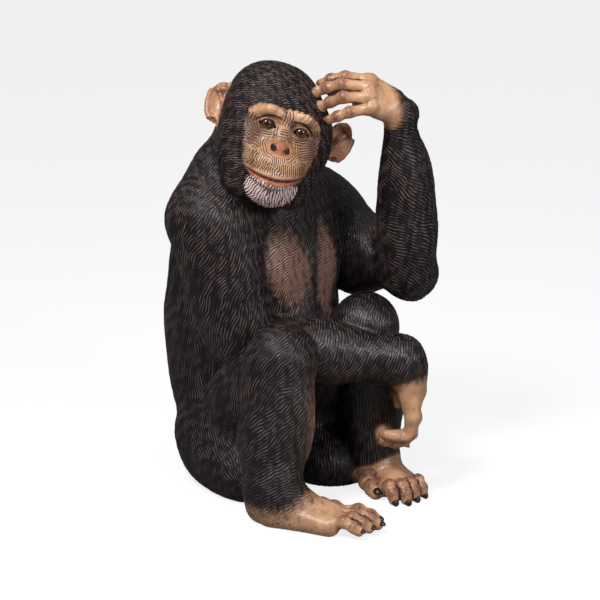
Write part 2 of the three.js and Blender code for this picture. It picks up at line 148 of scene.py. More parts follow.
# Soft shapes. Each gives, for many points, a distance and the way out.
def egg(c, r, blend=25, turn=None, hollow=False):
    c, r = vecf(c), vecf(r)
    R = None if turn is None else np.array(Euler([math.radians(v) for v in turn], "ZYX").to_matrix(), F)

    def at(P):
        d = P - c
        if R is not None:
            d = d @ R
        k0 = np.sqrt(((d / r) ** 2).sum(1)) + 1e-6
        n = d / (r * r)
        k1 = np.sqrt((n * n).sum(1)) + 1e-9
        n = n / k1[:, None]
        return k0 * (k0 - 1) / k1, n if R is None else n @ R.T
    return at, blend, hollow


def ball(c, r, blend=25):
    return egg(c, (r, r, r), blend)


def dent(c, r, blend=8, turn=None):
    return egg(c, r, blend, turn, True)


def bone(a, ra, b, rb, blend=25, hollow=False):
    a, ab = vecf(a), (vec(b) - vec(a)).astype(F)
    l2 = float(ab @ ab)

    def at(P):
        d = P - a
        h = np.clip(d @ ab / l2, 0, 1)
        d = d - h[:, None] * ab
        n = np.sqrt((d * d).sum(1)) + 1e-6
        return n - (ra + (rb - ra) * h), d / n[:, None]
    return at, blend, hollow


def group(shapes, blend=6):
    return lambda P: melt(shapes, P), blend, False


def placed(shapes, R, t, blend=5):
    """Shapes given in a space of their own, whose axes are the rows of R and whose origin is t."""
    R, t = R.astype(F), vecf(t)

    def at(P):
        d, g = melt(shapes, (P - t) @ R.T)
        return d, g @ R
    return at, blend, False


def fuse(d, g, e, h, k, hollow=False):
    """Joins distances d and e, and their ways out g and h, softly over k; hollow cuts the second from the first."""
    s = F(-1 if hollow else 1)
    a = d * s
    x = np.clip((k - np.abs(a - e)) / k, 0, 1)
    w = np.where(e < a, 1 - x / 2, x / 2)
    return s * (np.minimum(a, e) - x * x * k / 4), g * (1 - w)[:, None] + s * h * w[:, None]


def melt(shapes, P):
    d, g = np.full(len(P), 1e3, F), np.zeros_like(P)
    for at, k, hollow in shapes:
        d, g = fuse(d, g, *at(P), F(k), hollow)
    return d, g


# The mouth's height over MOUTH_Z and how far out it is, both along x
LIP_X = (-50, -36, -18, 2, 22, 38, 53)
LIP_LINE = np.polyfit(LIP_X, (10, 4.5, 1, 0.5, 4, 10, 18), 4)
LIP_OUT = np.polyfit(LIP_X, (-97, -119, -132, -138, -132, -119, -97), 4)


def lip_line(x):
    """The height of the mouth's line."""
    return MOUTH_Z + np.polyval(LIP_LINE, np.clip(x, -56, 58))


def head_shapes():
    n = NOSE_Z
    s = [egg((-10, 6, -2), (85, 94, 89)), egg((-44, 0, 22), (46, 60, 50), 30), egg((0, 20, -40), (84, 78, 62), 30)]
    s += [egg((q * 58, -22, -46), (41, 48, 68), 36) for q in SIDES]
    s += [egg((q * 44 + 1, -48, -116), (37, 38, 44), 30) for q in SIDES]
    s += [egg((0, -52, -20), (61, 38, 48), 18)]
    for q in SIDES:                                               # brow ridges
        s += [bone((q * 8, -84, -4), 9, (q * 33, -90, 0), 10.5, 8)]
        s += [bone((q * 33, -90, 0), 10.5, (q * 57, -70, -13), 8, 8)]
    s += [ball((-13, -88, -3), 9, 5), ball((13, -88, -1), 8, 5)]  # and their bumps
    s += [egg((24, -92, 3), (8, 8, 7), 4), egg((46, -84, -4), (9, 8, 7), 4)]
    s += [egg((q * 47, -64, -60), (17, 20, 26), 16) for q in SIDES]
    s += [egg((q * 18 - 1, -76, -54), (14, 15, 17), 14) for q in SIDES]
    s += [egg((MOUTH_X, -88, -94), (49, 46, 42), 20), egg((0, -74, CHIN_Z), (42, 43, 34), 22)]
    s += [bone((-1, -78, -14), 10, (NOSE_X, -97, n + 4), 8.5, 14)]
    s += [dent((q * EYE_X, -102, EYE_Z - 1), (18, 13, 12.5), 7) for q in SIDES]
    s += [dent((q * 15 - 1, -104, EYE_Z + 2), (7, 12, 9), 6) for q in SIDES]
    s += [ball((q * EYE_X, EYE_Y, EYE_Z), EYE_R + 2.8, 3) for q in SIDES]
    s += [egg((NOSE_X, -107, n + 2), (11, 10, 10), 5)]            # the nose's pad and its wings
    s += [egg((NOSE_X, -107, n - 7), (4.5, 8, 5.5), 3)]
    s += [egg((q * 13.5 + NOSE_X, -101, n - 1.5), (8, 9.5, 9), 3) for q in SIDES]
    lips = (-46, -39, -31, -21, -10, 2, 14, 25, 35, 43, 49)
    thick = (2.5, 4, 5.4, 6.6, 7.4, 7.6, 7.4, 6.6, 5.4, 4, 2.5)
    for up, size, back in ((1, 0.85, 8.0), (-1, 1, 8.5)):         # upper and lower lip
        path = [(vec((x, np.polyval(LIP_OUT, x), float(lip_line(x)))) + (0, back, up * r * size), r * size)
                for x, r in zip(lips, thick)]
        s += [group([bone(*a, *b, 1) for a, b in zip(path, path[1:])], 5)]
    s += [dent((q * EYE_X, -90, EYE_Z - 1), (13, 14, 8.6), 1.2, (0, 0, q * 10)) for q in SIDES]
    s += [dent((q * (EYE_X + side), -87, EYE_Z - 1.5 - low), (3.8, 9, 2), 1.5)
          for q in SIDES for side, low in ((11.5, 0), (-11.5, 1))]
    s += [dent((q * 10 + NOSE_X, -112, n - 4), (4.8, 11, 4.2), 1.8, (0, 0, q * 20)) for q in SIDES]    # nostrils
    s += [dent((q * 13.5 + NOSE_X, -108, n), (2.6, 9, 4.4), 1.8, (0, 0, q * 20)) for q in SIDES]
    return [placed(s, HEAD, HEAD_AT, 0.1)]


def ear_space(q):
    """The rows of the ear's own axes, and its middle."""
    turn = np.array(Euler([math.radians(v) for v in (-8, q * 16 + 8, q * 22)], "XYZ").to_matrix())
    return turn.T @ HEAD, from_head((q * 110 + 4, 2, -20 - q * 4))


def ear_shapes(q):
    rim = [(q * 24.5 * math.cos(a), -4 * math.sin(a) ** 2 - 1, 4 + 37.5 * math.sin(a))
           for a in np.linspace(math.radians(-75), math.radians(150), 10)]
    s = [egg((0, 2.5, 4), (25, 8, 38)), egg((-q * 18, 4, -6), (16, 11, 28), 6)]
    s += [group([bone(a, 5, b, 5, 0.05) for a, b in zip(rim, rim[1:])], 4)]
    s += [ball((q * 7, -1, -35), 7, 6)]
    s += [dent((q * 3, -9, 8), (17, 11, 28), 3), dent((-q * 8, -8, -6), (10, 15, 17), 3, (0, q * 12, 0))]
    s += [bone((-q * 8, -8, 26), 6.5, (q * 12, -8, 24), 6, 3, True)]
    s += [bone((-q * 8, -1, -6), 4, (q * 3, -2, 20), 3.4, 5), bone((q * 3, -2, 20), 3.4, (q * 10, -1, 30), 2.4, 4)]
    s += [bone((q * 14, -2, -20), 4.2, (q * 5, -3, -30), 4.4, 4), ball((-q * 11, -6, -16), 5.5, 5)]
    return [placed(s, *ear_space(q), 0.1)]


def torso_shapes():
    s = [egg((-6, 172, 300), (173, 146, 190)), egg((0, 176, 118), (148, 134, 150), 60)]
    s += [egg((-2, 152, 440), (136, 118, 130), 50), egg((0, 86, 250), (96, 70, 110), 50)]
    s += [egg((q * 48, 66, 408), (58, 42, 70), 30) for q in SIDES] + [ball((q * 108, 150, 478), 76, 50) for q in SIDES]
    s += [bone((-4, 172, 520), 90, (-20, 96, 640), 80, 60), ball((-98, 130, 578), 60, 60), ball((80, 140, 524), 47, 60)]
    return s + [egg((-90, 190, 206), (71, 66, 106), 40), egg((-92, 185, 400), (68, 62, 66), 40)]


def upper_arm_right():
    S, E = SHOULDER_R, ELBOW_R
    return [bone(S, 64, E, 50), egg(mix(S, E, 0.06), (70, 80, 72), 30), egg(mix(S, E, 0.45), (62, 76, 96), 40),
            egg(mix(S, E, 0.86), (52, 66, 60), 40)]


def upper_arm_left():
    S, E = SHOULDER_L, ELBOW_L
    return [bone(S, 62, E, 47), egg(mix(S, E, 0.1) + (0, 0, 2), (60, 66, 60), 30),
            egg(mix(S, E, 0.42) - (0, 0, 52), (52, 72, 58), 40), ball(vec(E) + (13, -15, -17), 38, 26)]


def forearm_right():
    E, W = ELBOW_R, WRIST_R
    return [bone(E, 50, W, 44), egg(mix(E, W, 0.5), (52, 54, 53), 50), ball(W, 43, 20),
            bone(W, 36, vec(W) + (15, -12, -26), 24, 16)]


def forearm_left():
    E, W = ELBOW_L, WRIST_L
    return [bone(E, 49, W, 28), egg(mix(E, W, 0.3) + (6, -5, 0), (44, 46, 84), 50),
            egg(mix(E, W, 0.62) + (8, -7, 0), (35, 38, 62), 40), ball(vec(E) + (12, -14, -14), 38, 26)]


DIGITS = []                              # joints, radius, way out of the back and whether it is a toe


def digit(joints, r, up, toe=False):
    n = len(joints) - 1
    J = [vec(j) for j in joints]
    DIGITS.append((J, r, up, toe))
    s = [bone(J[k], r * (1.06 - 0.07 * k), J[k + 1], r * (0.98 - 0.07 * k), 6) for k in range(n)]
    s += [ball(J[k] + up * 0.28, r * (1.02 - 0.05 * k), 5) for k in range(1, n)]
    return group(s + [ball(mix(J[-2], J[-1], 0.86) + up, r * 0.44, 4)], 1.6)


def hand(wrist, along, back, thumb, curl, spread, stout, wide, thumb_bones):
    """A palm with four fingers, whose bends and spread are in degrees, and a thumb on the side that thumb says."""
    Y = unit(along)
    Z = unit(vec(back) - Y * (vec(back) @ Y))
    X = np.cross(Y, Z) * thumb

    def at(x, y, z):
        return vec(wrist) + X * x + Y * y + Z * z
    base = [at((1.5 - i) * 17.5, PALM - (4, 0, 3, 11)[i], -1 - abs(i - 1.3) * 1.5) for i in range(4)]
    palm = [bone(at(0, -6, 0), wide, at(0, 30, 0), 25 * stout)]
    palm += [bone(at((1.5 - i) * 10, 24, 0), 17 * stout, b, 12.5 * stout, 9) for i, b in enumerate(base)]
    palm += [bone(at(12, 16, -6), 15, at(26, 46, -10), 12, 10), bone(at(-14, 18, -6), 14, at(-22, 56, -6), 11, 10)]
    fingers = []
    for i, b in enumerate(base):
        size, r, out = (0.94, 1, 0.96, 0.82)[i], FINGER_R * stout * (1, 1, 0.97, 0.9)[i], math.radians(spread[i])
        joints, f = [b], 0
        for k, step in enumerate((44, 29, 21)):
            f += math.radians(curl[i][k])
            bent = (Y * math.cos(out) + X * math.sin(out)) * math.cos(f) - Z * math.sin(f)
            joints.append(joints[-1] + bent * step * size)
        fingers.append(digit(joints, r, (Z * math.cos(f) + Y * math.sin(f)) * r * 0.62))
    fingers.append(digit([at(*q) for q in thumb_bones], FINGER_R * 1.05, Z * FINGER_R * 0.6))
    knuckles = [ball(b + Z * 7, 8.5 * stout, 7) for b in base]
    return palm + knuckles + [group(fingers, 7)]


HAND_R = dict(wrist=vec(WRIST_R) + (15, -13, -24), along=(0.075, -0.065, -1), back=(0.766, -0.643, 0), thumb=-1,
              stout=1.12, wide=31, curl=((7, 78, 18), (8, 80, 16), (10, 82, 14), (12, 84, 10)), spread=(0, 0, 0, 0),
              thumb_bones=((20, 12, -6), (29, 32, -15), (28, 50, -22), (24, 62, -25)))
HAND_L = dict(wrist=vec(WRIST_L) + (8, 3, 11), along=(-0.87, 0.11, 0.47), back=(0.13, -0.89, 0.45), thumb=1,
              stout=1.03, wide=24.5, curl=((38, 29, 19), (34, 36, 12), (42, 38, 8), (42, 30, 8)),
              spread=(4, 1, -4, -20), thumb_bones=((22, 18, -8), (32, 36, -18), (30, 56, -28), (22, 72, -36)))


def thigh(H, K, q, low, wide, *more):
    return [bone(H, 92, mix(H, K, 0.6), 74), bone(mix(H, K, 0.5), 72, mix(H, K, 0.97), 52, 30),
            egg(vec(H) + (q * 18, 4, -10), (94, 96, 90), 40), egg(low, wide, 50), *more]


def shin(K, A, turn, size):
    back = -ahead(turn)
    return [bone(mix(K, A, 0.06), 58 * size, A, 41 * size), ball(K, 60 * size, 20),
            egg(mix(K, A, 0.5) + vec((16, -12, 0)) * size, (42 * size, 44 * size, 84), 30),
            bone(mix(K, A, 0.25) + back * 14, 50 * size, mix(K, A, 0.62) + back * 14, 48 * size, 30),
            bone(mix(K, A, 0.62) + back * 14, 46 * size, vec(A) + back * 8, 42 * size, 30)]


def foot(A, turn, q, curl):
    """A foot over the point A, with the big toe on side q; curl of 1 bends its toes down."""
    Y, X = ahead(turn), aside(turn) * q

    def at(x, y, z):
        return vec((A[0], A[1], z)) + X * x + Y * y

    def lift(y, z, k):
        return (at(0, y, z) - at(0, 0, 0)) * k
    sole = [egg(at(0, -32, 27), (33, 33, 32), 20), bone(at(0, -10, 74), 44, at(0, 8, 40), 38, 25)]
    sole += [bone(at(0, 0, 38), 34, at(2, 88, 22), 25, 30)]
    sole += [bone(at(14 - i * 10, 30, 26), 20, at(27 - i * 18, 108 - abs(i - 1) * 6, 17), 14.5, 12) for i in range(4)]
    sole += [bone(at(-22, -10, 18), 17, at(-32, 98, 14), 14.5, 16), bone(at(18, 0, 22), 18, at(36, 46, 17), 15, 16)]
    toes = []
    for i in range(4):
        x, y, size = 28 - i * 19, 106 - (6, 0, 4, 10)[i], (1, 1.04, 0.97, 0.88)[i]
        far = (0, 32 - 10 * curl, 54 - 19 * curl, 65 - 26 * curl)
        high = (20, 28 + 2 * curl, 21 - 2 * curl, 15 - 6 * curl)
        joints = [at(x - (0, 1.2, 2, 2.4)[k] * i, y + far[k] * size, high[k]) for k in range(4)]
        toes.append(digit(joints, TOE_R * size, lift(0.5, 0.8, 6), True))
    big = [at(x - (0, 4, 8, 8)[k] * curl, y + (0, 3, 5, 6)[k] * curl, z)
           for k, (x, y, z) in enumerate(((30, 34, 17), (47, 58, 19), (52, 80, 15), (52, 92, 11)))]
    toes.append(digit(big, TOE_R * 1.36, lift(0.4, 0.9, 8), True))
    return sole + [group(toes, 6)]


def arm_blend(P):
    """Wide where the shoulder grows out of the trunk, tight in the crease beside the chest."""
    return 9 + 44 * smooth(P[:, 2], 415, 520)


def neck_blend(P):
    """Wider behind and below the head than under the chin."""
    L = to_head(P)
    return 12 + 25 * smooth(L[:, 1], -20, 30) * smooth(-L[:, 2], 10, 60)


# Each part's name, its shapes and how softly it joins those before it
RUMP_R = egg((-94, 146, 46), (62, 70, 56), 30)
PARTS = [("torso", torso_shapes(), 1),
         ("thigh_right", thigh(HIP_R, KNEE_R, -1, (-112, 60, 48), (76, 108, 66), RUMP_R), 10),
         ("thigh_left", thigh(HIP_L, KNEE_L, 1, (60, 30, 34), (76, 84, 62)), 24),
         ("shin_right", shin(KNEE_R, ANKLE_R, FOOT_TURN_R, 1), 12),
         ("shin_left", shin(KNEE_L, ANKLE_L, FOOT_TURN_L, 0.96), 12),
         ("foot_right", foot(FOOT_R, FOOT_TURN_R, 1, 0), 14), ("foot_left", foot(FOOT_L, FOOT_TURN_L, -1, 1), 14),
         ("upper_arm_right", upper_arm_right(), arm_blend), ("upper_arm_left", upper_arm_left(), arm_blend),
         ("forearm_right", forearm_right(), 10), ("forearm_left", forearm_left(), 16),
         ("hand_right", hand(**HAND_R), 12), ("hand_left", hand(**HAND_L), 12),
         ("head", head_shapes(), neck_blend), ("ear_right", ear_shapes(-1), 5), ("ear_left", ear_shapes(1), 5)]
NAMES = [p[0] for p in PARTS]
FAR_OFF, ROOM = 200, 30                  # a distance for parts not near, and the margin round the near ones
BOXES = {}
for name in NAMES:
    low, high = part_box(name)
    BOXES[name] = (np.array(low) / MM - SHIFT - ROOM, np.array(high) / MM - SHIFT + ROOM)


def part(name):
    return NAMES.index(name)


def body(P):
    """The whole figure as one soft shape: distance, way out, and the distance from each part."""
    P = np.asarray(P, F)
    d, g = np.full(len(P), 1e3, F), np.zeros_like(P)
    dist = np.full((len(P), len(PARTS)), FAR_OFF, F)
    for i, (name, shapes, k) in enumerate(PARTS):
        lo, hi = BOXES[name]
        near = np.flatnonzero(np.all((P > lo.astype(F)) & (P < hi.astype(F)), 1))
        if not len(near):
            continue
        Q = P[near]
        e, h = melt(shapes, Q)
        dist[near, i] = e
        d[near], g[near] = fuse(d[near], g[near], e, h, np.asarray(k(Q) if callable(k) else k, F))
    return d, g, dist


def settle(P, rounds=3, most=4.0):
    """Moves points onto the figure's surface."""
    for _ in range(rounds):
        d, g, _ = body(P)
        n = np.sqrt((g * g).sum(1)) + 1e-6
        P = P - g * (np.clip(d / n, -most, most) / n)[:, None]
    P[:, 2] = np.maximum(P[:, 2], 0)
    return P


def coords(mesh):
    a = np.empty(len(mesh.vertices) * 3, F)
    mesh.vertices.foreach_get("co", a)
    return a.reshape(-1, 3)


def place(mesh, P):
    mesh.vertices.foreach_set("co", np.ascontiguousarray(P, F).ravel())
    mesh.update()


def edges_of(mesh):
    a = np.empty(len(mesh.edges) * 2, np.int32)
    mesh.edges.foreach_get("vertices", a)
    return a.reshape(-1, 2)


def spread_mean(values, E, n):
    """The mean of each point's neighbours."""
    count, (a, b) = np.bincount(E.ravel(), minlength=n).astype(F), E.T
    out = np.stack([np.bincount(a, v[b], n) + np.bincount(b, v[a], n) for v in values.T], 1)
    return (out / np.maximum(count, 1)[:, None]).astype(F)


def baked(obj):
    """The object's mesh with its modifiers worked in."""
    return bpy.data.meshes.new_from_object(obj.evaluated_get(bpy.context.evaluated_depsgraph_get()))


def new_object(name, mesh):
    obj = bpy.data.objects.new(name, mesh)
    bpy.context.scene.collection.objects.link(obj)
    return obj


# The blank: all the flesh in one skin, from the solids, before it is carved
VOXEL = 0.0035


def make_blank():
    bm = bmesh.new()
    for name in FLESH + ("eye_right", "eye_left"):
        bm.from_mesh(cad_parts[name].data)
    bmesh.ops.remove_doubles(bm, verts=bm.verts, dist=2e-5)
    mesh = bpy.data.meshes.new("blank")
    bm.to_mesh(mesh)
    bm.free()
    blank = new_object("blank", mesh)
    remesh = blank.modifiers.new("one skin", "REMESH")
    remesh.mode, remesh.voxel_size, remesh.adaptivity = "VOXEL", VOXEL, 0
    mesh = baked(blank)
    blank.modifiers.clear()
    outer = largest_shell(mesh)
    bm = bmesh.new()
    bm.from_mesh(mesh)
    bm.verts.ensure_lookup_table()
    bmesh.ops.delete(bm, geom=[bm.verts[int(i)] for i in np.flatnonzero(~outer)], context="VERTS")
    bm.to_mesh(mesh)
    bm.free()
    relax(mesh, 3, 0.6)
    blank.data = mesh
    finer = blank.modifiers.new("finer", "SUBSURF")
    finer.levels = finer.render_levels = 1
    mesh = baked(blank)
    blank.modifiers.clear()
    return blank, mesh


def largest_shell(mesh):
    """Which points are on the outer skin, and not on a bubble between the solids."""
    E, label = edges_of(mesh), np.arange(len(mesh.vertices))
    while True:
        m = np.minimum(label[E[:, 0]], label[E[:, 1]])
        new = label.copy()
        np.minimum.at(new, E[:, 0], m)
        np.minimum.at(new, E[:, 1], m)
        new = new[new]
        if (new == label).all():
            return label == np.bincount(label).argmax()
        label = new


def relax(mesh, rounds, amount):
    """Evens out the points' spacing on the figure's surface."""
    P, E, n = settle(coords(mesh) / MM - SHIFT, 3), edges_of(mesh), len(mesh.vertices)
    for _ in range(rounds):
        P = settle(P + amount * (spread_mean(P, E, n) - P), 1)
    place(mesh, (P + SHIFT) * MM)


def refine(mesh, wanted):
    """Halves the mesh's spacing where a finer carving is wanted."""
    P, E = coords(mesh) / MM - SHIFT, edges_of(mesh)
    chosen = wanted(P)
    bm = bmesh.new()
    bm.from_mesh(mesh)
    bm.edges.ensure_lookup_table()
    picked = [bm.edges[int(i)] for i in np.flatnonzero(chosen[E[:, 0]] & chosen[E[:, 1]])]
    bmesh.ops.subdivide_edges(bm, edges=picked, cuts=1, use_grid_fill=True)
    bm.to_mesh(mesh)
    bm.free()


def apart(P, centre):
    """How far the points are from one place, squared."""
    return ((P - vecf(centre)) ** 2).sum(1)


def face_and_scalp(P):
    """The face, the scalp round it and the ears."""
    L = to_head(P)
    side, reach = np.abs(L[:, 0]), (L - vecf((0, 0, -40))) / vecf((110, 150, 140))
    front = (L[:, 1] < 6) & (L[:, 2] > -175) & ((reach ** 2).sum(1) < 1)
    ears = np.minimum.reduce([apart(L, (q * 110 + 4, 2, -18 - q * 4)) for q in SIDES]) < 64 ** 2
    return (front & (side < 76)) | (ears & (side > 84))


skin, mesh = make_blank()
refine(mesh, face_and_scalp)
P = coords(mesh) / MM - SHIFT
E, n = edges_of(mesh), len(mesh.vertices)
P = settle(P, 2, 3)
P = settle(P + 0.5 * (spread_mean(P, E, n) - P), 2, 3)
L = to_head(P)
thin = np.flatnonzero((np.abs(L[:, 0]) > 88) & (np.abs(L[:, 2]) < 60))
for _ in range(14):                      # the ears are thin, so their points are evened out further
    P[thin] = settle((P + 0.6 * (spread_mean(P, E, n) - P))[thin], 1, 3)
P[thin] = settle(P[thin], 2, 3)
_, g, dist = body(P)
N = unit(g).astype(F)
L = to_head(P)
own = np.argmin(dist, 1)


def off(name):
    """How far the points are from one part, in mm."""
    return dist[:, part(name)]


def points_of(name):
    """The points that are nearer to this part than to others."""
    return own == part(name)


# Where skin is bare, pale, warm, flushed or dark
def face_mask(L):
    """How far inside the bare face, in mm, by the head's own height and width."""
    x, _, z = L.T
    inside = np.interp(z, (-130, -112, -92, -63, -37, -9, 10), (42, 50, 57, 65, 69, 68, 68)) - x
    right = np.interp(z, (-130, -112, -95, -75, -56, -36, -17, 10), (-44, -50, -54.5, -59, -62.5, -65.5, -68, -70))
    brow = np.interp(x, (-73, -65, -48, -30, -8, 18, 39, 53, 63, 72), (-12, -2, 7.5, 9, 6.5, 10, 7, 2, -8, -20))
    chin = lip_line(x) - 9.5 + 5 * ((x - 2) / 48) ** 2
    for other in (x - right, brow - z, z - chin):
        h = np.clip(1 - np.abs(inside - other) / 14, 0, 1)
        inside = np.minimum(inside, other) - h * h * 3.5
    return inside


def foot_mask(P, A, turn):
    """How far under the ankle's sloping border the points are, in mm."""
    y = (P[:, :2] - vecf(A)) @ ahead(turn)[:2].astype(F)
    return 33 + 0.85 * np.maximum(y - 18, 0) - P[:, 2]


def bare_mask(P, L):
    """1 on bare skin and 0 in the fur; a crisp border on the face, a long airbrushed one on wrists and ankles."""
    def close(name):
        return smooth(-off(name), -14, -4)
    ragged = waves(P, 11, 3)
    face = smooth(face_mask(L) + 1.2 * ragged, -2.5, 2.5) * (L[:, 1] < -30) * (off("head") < 12)
    ears = smooth(6 - np.minimum(off("ear_right"), off("ear_left")), 0, 5)
    ears = ears * smooth(np.abs(L[:, 0]), 84, 92)
    right = smooth(228 + 2 * ragged - P[:, 2], -16, 14) * close("hand_right") * (P[:, 1] < -60) * (P[:, 0] > 20)
    reach = (P - HAND_L["wrist"].astype(F)) @ unit(HAND_L["along"]).astype(F) - 0.42 * (P[:, 2] - 690)
    left = smooth(reach + 2 * ragged, 6, 30) * close("hand_left") * smooth(off("head") - off("hand_left"), -0.5, 2)
    feet = [smooth(foot_mask(P, A, turn) + 3 * ragged, -17, 17) * close(name) for name, A, turn in FEET]
    return np.maximum.reduce([face, ears, right, left] + feet).astype(F)


FEET = ("foot_right", FOOT_R, FOOT_TURN_R), ("foot_left", FOOT_L, FOOT_TURN_L)
bare = bare_mask(P, L)


# The way the fur lies, part by part
def seen(angle):
    """A direction by its angle in the picture, counterclockwise from the right."""
    return RIGHT * math.cos(math.radians(angle)) + UP * math.sin(math.radians(angle))


def turned(t, *angles):
    """Directions in the picture that go from one angle to the next as t goes from 0 to 1."""
    a = np.radians(np.interp(t, np.linspace(0, 1, len(angles)), angles))
    return np.cos(a)[:, None] * RIGHT + np.sin(a)[:, None] * UP


def head_lie(P):
    """Parted in the middle, swept out over the brow and the crown, then down and back."""
    x, y, z = to_head(P).T

    def way(a, b, c):
        return np.stack([a, b + 0 * x, c + 0 * x], 1)
    out = x / np.sqrt(x * x + 200)
    crown, back = smooth(z, -14, 40)[:, None], smooth(y, -45, 15)[:, None]
    cheek = (1 - back) * way(0.8 * out, 0.5, -0.35) + back * way(0.1 * out, 0.5, -0.85)
    v = crown * way(out, 0.35, -0.1) + (1 - crown) * cheek
    chin = (smooth(-z, 112, 124) * smooth(-y, 30, 60))[:, None]
    return (v * (1 - chin) + chin * way((x - 4) / 34, 0.1, -1)) @ HEAD


def lie_of(name, P):
    """The way the fur of one part points, before it is laid on the surface."""
    _, y, z = P.T
    if name == "head":
        return head_lie(P)
    if name == "torso":
        chest = smooth(-y, -120, -70)
        return turned(np.clip(chest + 0.15 * waves(P, 90, 5), 0, 1), 268, 217)
    if name == "thigh_right":
        return turned(smooth(z, 50, 250), 312, 286, 240, 230)
    if name == "shin_right":
        return turned(smooth(z, 70, 250), 200, 216, 218, 226)
    if name == "upper_arm_right":
        arch = 0.6 * smooth(P @ RIGHT.astype(F), -196, -128) * smooth(z, 390, 480)
        down = np.clip(smooth(-z, -560, -290) * 0.75 + 0.25 * arch, 0, 1)
        return turned(down, 228, 226, 240, 250) + 1.3 * arch[:, None] * RIGHT
    if name == "forearm_right":
        return turned(smooth(z, 215, 310), 232, 250, 262)
    return seen({"ear_right": 200, "ear_left": -20, "thigh_left": 280, "shin_left": 262, "foot_right": 215,
                 "foot_left": 260, "upper_arm_left": 283, "forearm_left": -26, "hand_right": 265,
                 "hand_left": -40}[name]) + 0 * P


def lie_of_fur(P, N, dist):
    """The same for the whole figure, laid on its surface, blended between parts and turned a little here and there."""
    near = dist - dist.min(1, keepdims=True)
    D = np.zeros_like(P)
    for i, name in enumerate(NAMES):
        k = np.flatnonzero(near[:, i] < 40)
        v = lie_of(name, P[k]).astype(F)
        v = v - N[k] * (v * N[k]).sum(1, keepdims=True)
        D[k] += unit(v).astype(F) * np.exp(-near[k, i] / 9)[:, None]
    D = unit(D - N * (D * N).sum(1, keepdims=True)).astype(F)
    turn = 0.22 * waves(P, 75, 11) + 0.08 * waves(P, 24, 12)
    return D * np.cos(turn)[:, None] + np.cross(N, D) * np.sin(turn)[:, None]


# Carving: every stroke of the tool is a long rounded ridge along the lie of the fur
def one_in_each_cell(P, size, chosen):
    """Some of the chosen points, spread evenly."""
    k = rng.permutation(np.flatnonzero(chosen))
    cell = np.floor(P[k] / size).astype(np.int64)
    _, first = np.unique((cell[:, 0] + 500) * 4000000 + (cell[:, 1] + 500) * 2000 + cell[:, 2] + 500, return_index=True)
    return k[first]


def near_pairs(P, S, size):
    """Points and seeds within about that size of each other, some millions of pairs at a time."""
    def key(c):
        return (c[:, 0] + 200) * 1000000 + (c[:, 1] + 200) * 1000 + c[:, 2] + 200
    keys = key(np.floor(P / size).astype(np.int64))
    order = np.argsort(keys, kind="stable")
    ranked = keys[order]
    at = np.floor(S / size).astype(np.int64)
    for step in np.ndindex(3, 3, 3):
        want = key(at + np.array(step) - 1)
        lo, hi = np.searchsorted(ranked, want, "left"), np.searchsorted(ranked, want, "right")
        for some in np.array_split(np.arange(len(S)), max(1, int((hi - lo).sum() // 3000000) + 1)):
            count = (hi - lo)[some]
            starts = np.repeat(lo[some] - np.cumsum(count) + count, count)
            yield order[starts + np.arange(count.sum())], np.repeat(some, count)


def furrows(P, N, D, seeds, width, reach):
    """Ridges side by side along the lie of the fur, as combs of waves round the seeds. They fork and end where combs
    meet. It gives the wave's cosine and sine at each point, and its strength."""
    LONG, FAR = 1.9, 3.4                 # how long a comb is for its width, and where it ends
    FACING, ROUNDS = 0.4, 7              # how far its points may turn away, and the rounds of fitting
    S, SN, SD, count = P[seeds], N[seeds], D[seeds], len(seeds)
    SB, size = np.cross(SN, SD), float(reach * 2.8)
    phase = rng.uniform(0, 2 * math.pi, count).astype(F)

    def link(Q, QN, v, s):
        """The pairs that count, each one's weight, and how far through the comb's wave its point is."""
        delta = Q[v] - S[s]
        a, b = (delta * SD[s]).sum(1), (delta * SB[s]).sum(1)
        far = (a / (LONG * reach)) ** 2 + (b / reach) ** 2
        keep = (far < FAR) & ((QN[v] * SN[s]).sum(1) > FACING)
        return v[keep], s[keep], np.exp(-far[keep]), b[keep] * F(2 * math.pi) / width[s[keep]]
    v, s, w, turn = (np.concatenate(k) for k in zip(*[link(S, SN, *pair) for pair in near_pairs(S, S, size)]))
    for _ in range(ROUNDS):              # neighbouring combs fall into step
        angle = turn + phase[s]
        phase = np.arctan2(np.bincount(v, w * np.sin(angle), count), np.bincount(v, w * np.cos(angle), count)).astype(F)
    across, along, total = (np.zeros(len(P)) for _ in range(3))
    for pair in near_pairs(P, S, size):
        v, s, w, turn = link(P, N, *pair)
        angle = turn + phase[s]
        across += np.bincount(v, w * np.sin(angle), len(P))
        along += np.bincount(v, w * np.cos(angle), len(P))
        total += np.bincount(v, w, len(P))
    sure = np.sqrt(across ** 2 + along ** 2) / (total + 1e-6)
    full = sure * total + 1e-6
    return np.stack([along / full, across / full, 0.5 + 0.5 * smooth(sure, 0.1, 0.55)], 1).astype(F)


D = lie_of_fur(P, N, dist)
on_head = points_of("head")
x, y, z = L.T
beard = smooth(1 - ((x - 3) / 50) ** 2 - ((z + 126) / 40) ** 2, 0, 0.3) * smooth(-z, 112, 122) * smooth(-y, 38, 58)
beard = (beard * (off("head") < 8) * (1 - bare)).astype(F)
furry = bare < 0.9
x, y, z = P.T
lobe = 1 - ((x + 36 + 0.15 * (z - 412)) / 50) ** 2 - ((z - 412) / 74) ** 2
lobe = np.maximum(lobe, 1 - ((x - 52) / 27) ** 2 - ((z - 398) / 88) ** 2)
chest = smooth(lobe + 0.12 * waves(P, 16, 61), -0.25, 0.7) * until(y, 60, 85)
chest = (chest * (off("torso") < 12) * points_of("torso")).astype(F)
on_shin = np.exp(-((x + 100) / 26) ** 2 - ((y + 118) / 34) ** 2 - ((z - 172) / 62) ** 2).astype(F)
wavy = P + np.cross(N, D) * np.where(on_head, 0.7 * waves(P, 12, 53), 0.75 * waves(P, 20, 51))[:, None]
